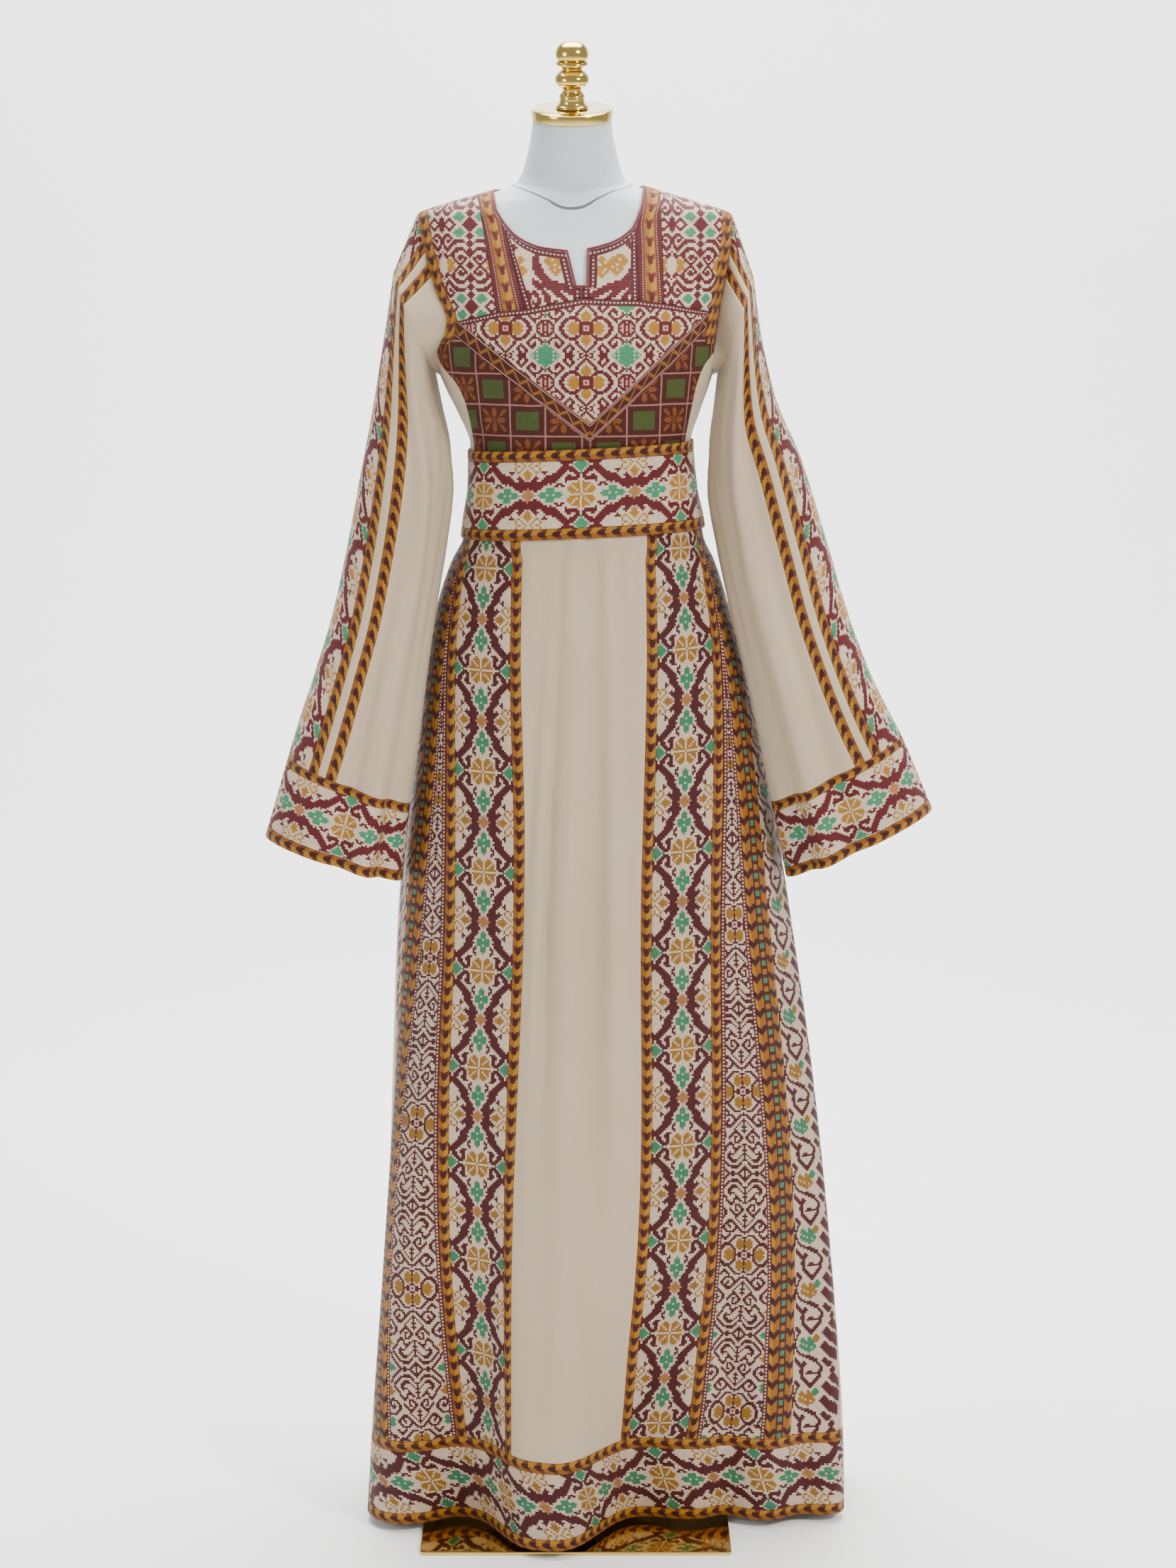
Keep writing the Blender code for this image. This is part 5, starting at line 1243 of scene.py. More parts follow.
@dataclass
class Ring:
    """A closed flat outline, measured from its zero place."""

    points: Points
    zero: float

    def __post_init__(self) -> None:
        """Measure lengths and outward directions."""
        steps = np.linalg.norm(np.diff(self.points, axis=0), axis=1)
        lengths = np.concatenate([[0.0], np.cumsum(steps)])
        tangent = np.vstack([self.points[1:], self.points[1:2]]) - np.vstack([self.points[-2:-1],
                                                                              self.points[:-1]])
        tangent /= np.linalg.norm(tangent, axis=1)[:, None]
        self.normals = np.stack([tangent[:, 1], -tangent[:, 0]], axis=1)
        self.lengths = lengths - np.interp(self.zero, np.arange(len(lengths)), lengths)
        self.total = float(lengths[-1])

    def at(self, distances: Points) -> tuple[Points, Points]:
        """Points and outward directions at distances round the ring."""
        place = self.lengths[0] + (np.asarray(distances) - self.lengths[0]) % self.total
        point, normal = (
            np.stack([np.interp(place, self.lengths, line[:, axis]) for axis in (0, 1)], axis=-1)
            for line in (self.points, self.normals)
        )
        return point, normal / np.linalg.norm(normal, axis=-1, keepdims=True)


@dataclass
class Skirt:
    """The gathered skirt and its hem band."""

    sections: Table = (
        (0.01, 0.046, 0.255, 0.08, 0.172, 3.0, -0.002),
        (0.11, 0.0425, 0.257, 0.086, 0.17, 2.9, -0.001),
        (0.305, 0.036, 0.251, 0.1, 0.165, 2.8, 0.0000),
        (0.54, 0.028, 0.237, 0.11, 0.16, 2.7, 0.003),
        (0.744, 0.019, 0.219, 0.116, 0.155, 2.6, 0.005),
        (0.9, 0.0155, 0.198, 0.116, 0.148, 2.5, 0.008),
        (1.016, 0.011, 0.177, 0.113, 0.135, 2.4, 0.009),
        (1.079, 0.008, 0.161, 0.108, 0.114, 2.3, 0.0095),
        (1.12, 0.0085, 0.147, 0.104, 0.098, 2.3, 0.0095),
        (1.146, 0.009, 0.1343, 0.0998, 0.0898, 2.3, 0.0095),
        (1.17, 0.0087, 0.131, 0.098, 0.087, 2.3, 0.0095),
        (1.204, 0.0075, 0.1245, 0.0965, 0.0855, 2.3, 0.0095),
    )
    # place in half turns from the front, half width in half turns, how sharp, depth at the hem, top
    folds: Table = (
        (-0.04, 0.092, 3.0, 0.093, 0.62),
        (-0.3, 0.07, 2.0, 0.052, 0.7),
        (-0.215, 0.03, 2.0, -0.008, 1.00),
        (0.12, 0.05, 2.0, -0.011, 0.6),
        (0.265, 0.03, 2.0, -0.012, 1.08),
        (0.345, 0.04, 2.0, 0.012, 1.00),
        (0.455, 0.035, 2.0, 0.026, 0.95),
        (-0.42, 0.035, 2.0, -0.02, 1.05),
        (-0.5, 0.035, 2.0, 0.018, 1.00),
        (0.545, 0.035, 2.0, -0.022, 1.08),
        (0.64, 0.045, 2.0, 0.03, 1.00),
        (0.735, 0.035, 2.0, -0.022, 1.05),
        (0.83, 0.045, 2.0, 0.028, 0.95),
        (0.93, 0.04, 2.0, -0.024, 1.08),
        (-0.97, 0.045, 2.0, 0.03, 1.00),
        (-0.865, 0.035, 2.0, -0.022, 1.05),
        (-0.765, 0.045, 2.0, 0.026, 0.95),
        (-0.665, 0.035, 2.0, -0.022, 1.08),
        (-0.575, 0.04, 2.0, 0.024, 1.00),
    )
    # place along the skirt from the front, half width, depth, length
    gathers: Table = (
        (-0.058, 0.007, 0.0042, 0.11),
        (-0.038, 0.006, 0.0032, 0.075),
        (-0.017, 0.007, 0.0044, 0.14),
        (0.006, 0.006, 0.0036, 0.085),
        (0.027, 0.007, 0.0044, 0.125),
        (0.048, 0.006, 0.0032, 0.08),
        (0.064, 0.006, 0.0036, 0.1),
    )
    # softer creases: place in half turns, half width, depth, middle height, half length, lean
    creases: Table = (
        (-0.105, 0.01, -0.004, 0.78, 0.34, 0.01),
        (-0.082, 0.01, 0.006, 0.66, 0.4, 0.006),
        (-0.06, 0.011, -0.005, 0.8, 0.4, 0.004),
        (-0.026, 0.024, 0.011, 0.54, 0.66, 0.004),
        (0.026, 0.018, -0.0075, 0.6, 0.62, -0.006),
        (0.062, 0.014, 0.006, 0.78, 0.46, -0.006),
        (-0.05, 0.01, -0.003, 0.24, 0.12, 0.016),
        (0.012, 0.012, 0.0032, 0.2, 0.1, -0.014),
        (0.1, 0.009, -0.002, 0.46, 0.2, 0.004),
        (-0.15, 0.012, 0.0016, 0.94, 0.12, 0.0),
        (0.16, 0.012, 0.0016, 0.92, 0.14, 0.0),
        (0.225, 0.014, 0.002, 0.7, 0.22, 0.0),
        (-0.25, 0.014, 0.002, 0.6, 0.22, 0.0),
        (0.7, 0.012, 0.003, 0.85, 0.25, 0.01),
        (-0.72, 0.012, 0.003, 0.8, 0.25, -0.01),
        (0.88, 0.012, -0.003, 0.6, 0.3, 0.0),
        (-0.9, 0.012, -0.003, 0.65, 0.3, 0.0),
    )
    width_heights: tuple = (0.11, 1.05, 1.204)
    centre_half: tuple = (0.082, 0.0725, 0.071)
    panels: tuple = (
        ("inner_stripe", (0.012, 0.012, 0.012), ARROWS, "gold_stripe"),
        ("band", (0.068, 0.068, 0.06), LOW_BAND, "red_embroidery"),
        ("outer_stripe", (0.012, 0.012, 0.012), ARROWS, "gold_stripe"),
        ("lace_gore", (0.083, 0.005, 0.004), GORE_LACE, "lace_embroidery"),
        ("tile_band", (0.033, 0.03, 0.026), TILE_BAND, "gold_stripe"),
        ("vine_band", (0.062, 0.056, 0.044), VINE_BAND, "lace_embroidery"),
    )
    # height of a pattern's origin on the left and on the right
    levels: dict = field(default_factory=lambda: {LOW_BAND.name: (1.118, 1.1396),
                                                  GORE_LACE.name: (0.486, 0.526),
                                                  VINE_BAND.name: (0.44, 0.44)})
    top: float = 1.203
    foot: float = 0.1103
    hem: tuple = (0.0105, 0.0228, 0.0975, 0.11)
    belt_edge: float = 1.144

    def ring(self, z: float) -> Ring:
        """The skirt's outline at a height, measured from the middle of the front."""
        middle, half, before, behind, power, front_x = smooth(self.sections, z)
        angle = np.linspace(-math.pi, math.pi, RING_POINTS + 1)
        s, c = np.sin(angle), np.cos(angle)
        x = middle + half * np.sign(s) * np.abs(s) ** (2 / power)
        y = np.where(c > 0, -before, behind) * np.abs(c) ** (2 / power)
        facing = np.abs(angle) < math.pi / 2
        zero = float(np.interp(front_x, x[facing], np.arange(RING_POINTS + 1)[facing]))
        plain = Ring(np.stack([x, y], axis=1), zero)
        turn = plain.lengths / (plain.total / 2)
        raised = np.zeros(len(turn))
        for place, width, sharp, depth, begins in self.folds:
            grown = max(0.0, (begins - z) / begins) ** 1.35
            away = np.abs((turn - place + 1.0) % 2.0 - 1.0)
            raised += depth * grown * np.exp(-((away / width) ** sharp))
        for place, width, depth, reach in self.gathers:
            fade = np.clip((self.belt_edge - z) / 0.015, 0, 1) * max(0.0, 1 - (self.belt_edge - z) / reach)
            raised += depth * fade * np.exp(-(((plain.lengths - place) / width) ** 2))
        for place, width, depth, height, reach, lean in self.creases:
            away = (turn - place - lean * (z - height) / reach + 1.0) % 2.0 - 1.0
            raised += depth * math.exp(-(((z - height) / reach) ** 2) * 2) * np.exp(-((away / width) ** 2))
        return Ring(plain.points + plain.normals * raised[:, None], zero)

    def edges(self, z: float) -> list[float]:
        """Distances of the front panels' edges from the middle of the front, at a height."""
        edges = [float(np.interp(z, self.width_heights, self.centre_half))]
        for _, widths, _, _ in self.panels:
            edges.append(edges[-1] + float(np.interp(z, self.width_heights, widths)))
        return edges

    def tube(self, heights: Points, places: Points, rows: Points, columns: Points,
             closed: bool = False) -> Wall:
        """A piece on the rings at heights, with the distances of its columns in each row."""
        inner, outer = np.zeros((2, *places.shape, 3))
        for row, z in enumerate(heights):
            point, normal = self.ring(float(z)).at(places[row])
            inner[row] = np.insert(point, 2, z, axis=1)
            outer[row] = np.insert(point + normal * WALL, 2, z, axis=1)
        return Wall(inner, outer, rows, columns, closed)

    def panel(self, starts: Points, ends: Points, heights: Points, rows: Points,
              seam: float = SEAM / 2) -> Wall:
        """A panel between two lines down the skirt.

        Args:
            starts: distance of its left edge round the skirt, at each height.
            ends: the same for its right edge.
            heights: the rows' heights.
            rows: shares of the rows along the length.
            seam: what is left free at each edge.

        Returns:
            The cloth.
        """
        columns = shares_of(float((ends - starts).max()))
        places = starts[:, None] + seam + (ends - starts - 2 * seam)[:, None] * columns[None]
        return self.tube(heights, places, rows, columns)

    def build(self, store: Wardrobe) -> None:
        """Sew the panels and the hem."""
        rows = shares_of(self.top - self.foot)
        heights = self.foot + (self.top - self.foot) * rows
        edges = np.array([self.edges(z) for z in heights])
        total = np.array([self.ring(float(z)).total for z in heights])
        wall = self.panel(-edges[:, 0], edges[:, 0], heights, rows)
        store.sew("skirt_centre", wall, CREAM_CLOTH)
        for order, (name, _, finish, slot) in enumerate(self.panels):
            near, far = edges[:, order], edges[:, order + 1]
            for word, starts, ends in (("right", near, far), ("left", -far, -near)):
                wall = self.panel(starts, ends, heights, rows)
                if finish.name in self.levels:
                    level = self.levels[finish.name][word == "right"]
                    wall.pattern = wall.from_level(level, word == "left")
                store.sew(f"skirt_{name}_{word}", wall, finish, WRONG_SIDE)
        wall = self.panel(edges[:, -1], total - edges[:, -1], heights, rows, 1.5 * SEAM)
        store.sew("skirt_back", wall, CREAM_CLOTH)
        self.build_hem(store)

    def build_hem(self, store: Wardrobe) -> None:
        """Sew the embroidered hem band between its two stripes."""
        bottom, low_top, high_bottom, top = self.hem
        for name, low, high, finish, slot, scale in (
            ("hem_border_lower", bottom, low_top, ARROWS, "gold_stripe", 1.0),
            ("hem_band", low_top + SEAM, high_bottom - SEAM, LOW_BAND, "red_embroidery", 0.95),
            ("hem_border_upper", high_bottom, top, ARROWS, "gold_stripe", 1.0),
        ):
            rows = shares_of(high - low)
            heights = low + (high - low) * rows
            rings = [self.ring(float(z)) for z in heights]
            columns = np.linspace(0, 1, round(rings[0].total / CELL) + 1)
            starts = np.array([-self.edges(float(z))[-1] for z in heights])
            places = starts[:, None] + np.array([ring.total for ring in rings])[:, None] * columns[None]
            wall = self.tube(heights, places, rows, columns, closed=True)
            wall.turned, wall.scale = True, scale
            store.sew(name, wall, finish, WRONG_SIDE)


@dataclass
class Belt:
    """The sash belt: an embroidered band between two stripes, round the waist."""

    height: float = 1.152
    tall: float = 0.098
    slope: float = 0.045
    off: float = 0.0029
    thick: float = 0.0018
    points_round: int = 163
    fade: float = 0.16
    deepest: float = 0.0008
    # creases round the belt: share of its height, half width, depth, middle angle, half length
    creases: Table = (
        (0.42, 0.07, 0.0013, -32.0, 34.0),
        (0.62, 0.06, -0.001, 28.0, 40.0),
        (0.3, 0.05, -0.0008, 20.0, 24.0),
        (0.78, 0.05, 0.001, -8.0, 26.0),
        (0.5, 0.06, 0.0012, 130.0, 40.0),
        (0.36, 0.06, -0.001, -140.0, 45.0),
    )

    def build(self, store: Wardrobe) -> None:
        """Sew the three rows of the belt."""
        stripe, seam = STRIPE / self.tall, SEAM / self.tall
        columns = np.linspace(0, 1, self.points_round)
        for name, low, high, finish, slot in (
            ("belt_border_lower", 0.0, stripe, ARROWS, "gold_stripe"),
            ("belt_band", stripe + seam, 1 - stripe - seam, GREAT_BAND, "red_embroidery"),
            ("belt_border_upper", 1 - stripe, 1.0, ARROWS, "gold_stripe"),
        ):
            rows = shares_of((high - low) * self.tall)
            shares = (low + (high - low) * rows)[:, None]
            degrees = -180.0 + 360.0 * columns[None]
            flat = self.height + self.tall * shares
            x = FIGURE.turned(degrees, flat + 0 * degrees)[..., 0]
            points = FIGURE.turned(degrees + 0 * x, flat + self.slope * x)
            normal = FIGURE.normal(points) * (1, 1, 0)
            normal /= np.linalg.norm(normal, axis=2)[..., None]
            relief = np.zeros_like(x)
            for share, width, depth, middle, reach in self.creases:
                relief += depth * np.exp(-(((shares - share) / width) ** 2)
                                         - ((degrees - middle) / reach) ** 2)
            relief *= np.clip(np.minimum(shares, 1 - shares) / self.fade, 0, 1)
            inner = points + normal * (self.off + np.maximum(relief, -self.deepest))[..., None]
            wall = Wall(inner, inner + normal * self.thick, rows, columns, closed=True, turned=True,
                        scale=0.95 if finish is GREAT_BAND else 1.0)
            store.sew(name, wall, finish, WRONG_SIDE)


@dataclass
class Sleeve:
    """A bell sleeve on the armhole of a bodice: band, stripes, cloth and cuff."""

    side: int
    bodice: Bodice
    # place, inner x, inner height, outer x, outer height, middle y, half depth
    sections: Table
    folds: Table = (
        (0.27, 0.035, -0.009, 1.0),
        (0.335, 0.03, 0.007, 1.0),
        (0.4, 0.03, -0.009, 2.0),
        (-0.13, 0.04, 0.007, 2.0),
        (-0.23, 0.035, -0.009, 1.0),
        (-0.32, 0.035, 0.008, 1.5),
        (-0.41, 0.03, -0.007, 2.0),
    )
    # softer creases: share of a turn, half width, depth, middle place, half length, drift
    creases: Table = (
        (0.3, 0.022, 0.0055, 3.4, 1.8, 0.03),
        (0.36, 0.018, -0.0048, 4.2, 2.0, 0.02),
        (0.42, 0.022, 0.0052, 2.8, 1.6, 0.04),
        (0.23, 0.02, -0.0034, 2.6, 1.3, 0.03),
        (0.445, 0.016, -0.0044, 6.0, 2.4, 0.0),
        (0.3, 0.014, 0.004, 7.2, 1.8, 0.0),
        (-0.3, 0.025, 0.005, 3.0, 1.8, -0.03),
        (-0.38, 0.022, -0.005, 4.6, 2.0, -0.02),
        (-0.2, 0.022, 0.0042, 5.5, 2.2, 0.0),
        (0.12, 0.02, -0.0012, 4.0, 2.0, 0.0),
    )
    band_front: Table = ((0.0, 0.034), (1.0, 0.038), (4.0, 0.045), (9.0, 0.052), (10.0, 0.052))
    band_width: float = 0.068
    plain_gap: float = 0.01
    cuff_places: tuple = (9.0, 9.132, 9.135, 9.865, 9.868, 10.0)
    rows_per_place: int = 15
    cuff_start: float = 9.0
    cloth_end: float = 8.997
    cuff_length: float = 0.092

    def ring(self, place: float) -> tuple[Ring, Points, Points, Points]:
        """A section: its flat ring, its centre and the two directions the ring lies in."""
        in_x, in_z, out_x, out_z, middle_y, depth = smooth(self.sections, place)
        centre = np.array([(in_x + out_x) / 2, middle_y, (in_z + out_z) / 2])
        reach = np.array([(out_x - in_x) / 2, 0.0, (out_z - in_z) / 2])
        half = np.linalg.norm(reach)
        angle = np.linspace(-math.pi, math.pi, RING_POINTS + 1)
        plain = Ring(np.stack([half * np.cos(angle), depth * np.sin(angle)], axis=1), RING_POINTS / 2)
        share = plain.lengths / plain.total
        raised = np.zeros(len(share))
        for fold, width, deep, begins in self.folds:
            grown = float(np.clip((place - begins) / (self.cuff_start - begins), 0, 1))
            away = (share - fold + 0.5) % 1.0 - 0.5
            raised += deep * grown * np.exp(-((away / width) ** 2))
        for fold, width, deep, middle, length, drift in self.creases:
            away = (share - fold - drift * (place - middle) + 0.5) % 1.0 - 0.5
            raised += deep * math.exp(-(((place - middle) / length) ** 2)) * np.exp(-((away / width) ** 2))
        raised *= float(np.clip((place - 1.0) / 0.8, 0, 1))
        return (Ring(plain.points + plain.normals * raised[:, None], RING_POINTS / 2), centre, reach / half,
                np.array([0.0, -1.0, 0.0]))

    def armhole(self) -> tuple[Points, int]:
        """The armhole's edge on the body: down the front, under the arm and up the back, and its lowest
        point's number."""
        bodice, side = self.bodice, self.side
        front = bodice.bib_line(side, 0.0, bodice.chest_ends[side])[::-1]
        front += [(float(bodice.edge_x(side, z)), z) for z in (bodice.v_ends[side], bodice.border_end)]
        under = bodice.under_line(side)
        back = bodice.back_edge(side)[1]
        line = np.vstack([FIGURE.laid(*np.array(front).T), FIGURE.turned(*np.array(under).T),
                          FIGURE.laid(*np.array(back[:-1]).T, False)])
        return line, len(front) + len(under) // 2

    def head(self) -> tuple[Points, Points, Points]:
        """The sleeve head's inner and outer line just inside the armhole, by shares of a turn."""
        line, bottom = self.armhole()
        closed = np.vstack([line, line[:1]])
        lengths = np.concatenate([[0.0], np.cumsum(np.linalg.norm(np.diff(closed, axis=0), axis=1))])
        down, total = lengths[bottom], lengths[-1]
        shares = np.where(lengths <= down, 0.5 * lengths / down,
                          0.5 + 0.5 * (lengths - down) / (total - down))
        ring, middle, out, forward = self.ring(1.0)
        normal = FIGURE.normal(line)
        tangent = np.roll(line, -1, axis=0) - np.roll(line, 1, axis=0)
        into = np.cross(tangent, normal)
        into /= np.linalg.norm(into, axis=1)[:, None]
        into *= np.sign((into * (line.mean(axis=0) - line)).sum(axis=1))[:, None]
        point, outward = ring.at(shares[:-1] * ring.total)
        away = middle + point[:, :1] * out + point[:, 1:] * forward - line
        away /= np.linalg.norm(away, axis=1)[:, None]
        across = outward[:, :1] * out + outward[:, 1:] * forward
        across -= away * (across * away).sum(axis=1)[:, None]
        across /= np.linalg.norm(across, axis=1)[:, None]
        inside = np.clip(0.5 - (across * into).sum(axis=1) / 0.6, 0, 1)[:, None]
        start = line + into * SEAM
        inner, outer = start - across * WALL * inside, start + across * WALL * (1 - inside)
        return shares, np.vstack([inner, inner[:1]]), np.vstack([outer, outer[:1]])

    def tube(self, places: Points, starts: Points, ends: Points, rows: Points, columns: Points,
             closed: bool = False, seam: float = SEAM / 2) -> Wall:
        """A piece between two lines that run down the sleeve.

        Args:
            places: the rows' places down the sleeve.
            starts: distance of its first edge round the sleeve, at each place.
            ends: the same for its other edge.
            rows: shares of the rows along the length.
            columns: shares of the columns along the width.
            closed: whether it goes all the way round.
            seam: what is left free at each edge.

        Returns:
            The cloth.
        """
        inner, outer = np.zeros((2, len(places), len(columns), 3))
        shares, head_inner, head_outer = self.head()
        for row, place in enumerate(places):
            ring, centre, out, forward = self.ring(max(float(place), 1.0))
            distances = starts[row] + seam + (ends[row] - starts[row] - 2 * seam) * columns
            point, normal = ring.at(distances)
            low = centre + point[:, :1] * out + point[:, 1:] * forward
            high = low + (normal[:, :1] * out + normal[:, 1:] * forward) * WALL
            if place < 1.0:
                turn = (distances / ring.total) % 1.0
                first, last = (
                    np.stack([np.interp(turn, shares, line[:, axis]) for axis in range(3)], axis=1)
                    for line in (head_inner, head_outer)
                )
                low, high = first + (low - first) * place, last + (high - last) * place
            inner[row], outer[row] = low, high
        return Wall(inner, outer, rows, columns, closed)

    def build(self, store: Wardrobe) -> None:
        """Sew the sleeve's pieces and its cuff."""
        word = SIDES[self.side]
        rows = np.linspace(0, 1, round(self.cuff_start * self.rows_per_place) + 1)
        places = self.cloth_end * rows
        front = smooth(self.band_front, places)[:, 0]
        back = front - self.band_width
        total = np.array([self.ring(max(float(place), 1.0))[0].total for place in places])
        first = front + STRIPE
        gap = first + self.plain_gap
        second = gap + STRIPE
        for name, starts, ends, finish, slot in (
            ("band", back, front, GREAT_BAND, "red_embroidery"),
            ("outer_stripe", front, first, ARROWS, "gold_stripe"),
            ("plain_strip", first, gap, CREAM_CLOTH, "cream_cloth"),
            ("inner_stripe", gap, second, ARROWS, "gold_stripe"),
            ("cloth", second, total + back, CREAM_CLOTH, "cream_cloth"),
        ):
            columns = shares_of(float((ends - starts).max()))
            wall = self.tube(places, starts, ends, rows, columns)
            store.sew(f"sleeve_{name}_{word}", wall, finish,
                      None if finish is CREAM_CLOTH else WRONG_SIDE)
        for name, low, high, finish, slot in (
            ("cuff_border_upper", 0, 1, ARROWS, "gold_stripe"),
            ("cuff_band", 2, 3, GREAT_BAND, "red_embroidery"),
            ("cuff_border_lower", 4, 5, ARROWS, "gold_stripe"),
        ):
            low, high = self.cuff_places[low], self.cuff_places[high]
            rows = shares_of((high - low) * self.cuff_length)
            places = low + (high - low) * rows
            lengths = np.array([self.ring(float(place))[0].total for place in places])
            columns = np.linspace(0, 1, round(lengths[-1] / CELL) + 1)
            wall = self.tube(places, -lengths / 2, lengths / 2, rows, columns, closed=True, seam=0.0)
            wall.turned = True
            store.sew(f"{name}_{word}", wall, finish,
                      MAROON_LINING)


# Middle y and half depth at each place down a sleeve.
SLEEVE_DEPTHS = (
    (0.0, 0.062), (-0.004, 0.058), (-0.012, 0.054), (-0.022, 0.051), (-0.034, 0.049),
    (-0.045, 0.049), (-0.052, 0.05), (-0.056, 0.051), (-0.058, 0.053), (-0.058, 0.056),
)
# Inner x, inner height, outer x and outer height at each place, on the left and on the right.
SLEEVE_EDGES = (
    (
        (-0.157, 1.331, -0.202, 1.44), (-0.1493, 1.292, -0.2127, 1.37), (-0.141, 1.25, -0.2257, 1.29),
        (-0.139, 1.205, -0.2383, 1.223), (-0.147, 1.13, -0.256, 1.13), (-0.158, 1.06, -0.2714, 1.062),
        (-0.168, 0.99, -0.2916, 0.996), (-0.177, 0.92, -0.308, 0.948), (-0.187, 0.852, -0.3215, 0.904),
        (-0.197, 0.764, -0.3486, 0.814),
    ),
    (
        (0.1594, 1.331, 0.1979, 1.435), (0.1551, 1.292, 0.207, 1.37), (0.1505, 1.25, 0.2235, 1.3),
        (0.15, 1.205, 0.2492, 1.24), (0.16, 1.135, 0.279, 1.147), (0.175, 1.062, 0.3019, 1.07),
        (0.191, 0.995, 0.3259, 1.005), (0.207, 0.925, 0.3467, 0.962), (0.221, 0.854, 0.3644, 0.928),
        (0.239, 0.768, 0.4003, 0.845),
    ),
)
SLEEVES = tuple(tuple((1.0 + place, *edge, *depth)
                      for place, (edge, depth) in enumerate(zip(edges, SLEEVE_DEPTHS)))
                for edges in SLEEVE_EDGES)


# ---------------------------------------------------------------- form and stand


def select_only(thing: Thing | None) -> None:
    """Deselect all, and select and activate one object."""
    bpy.ops.object.select_all(action="DESELECT")
    if thing is not None:
        thing.select_set(True)
        bpy.context.view_layer.objects.active = thing


def mode(name: str) -> None:
    """Go to edit mode or object mode."""
    bpy.ops.object.mode_set(mode=name)


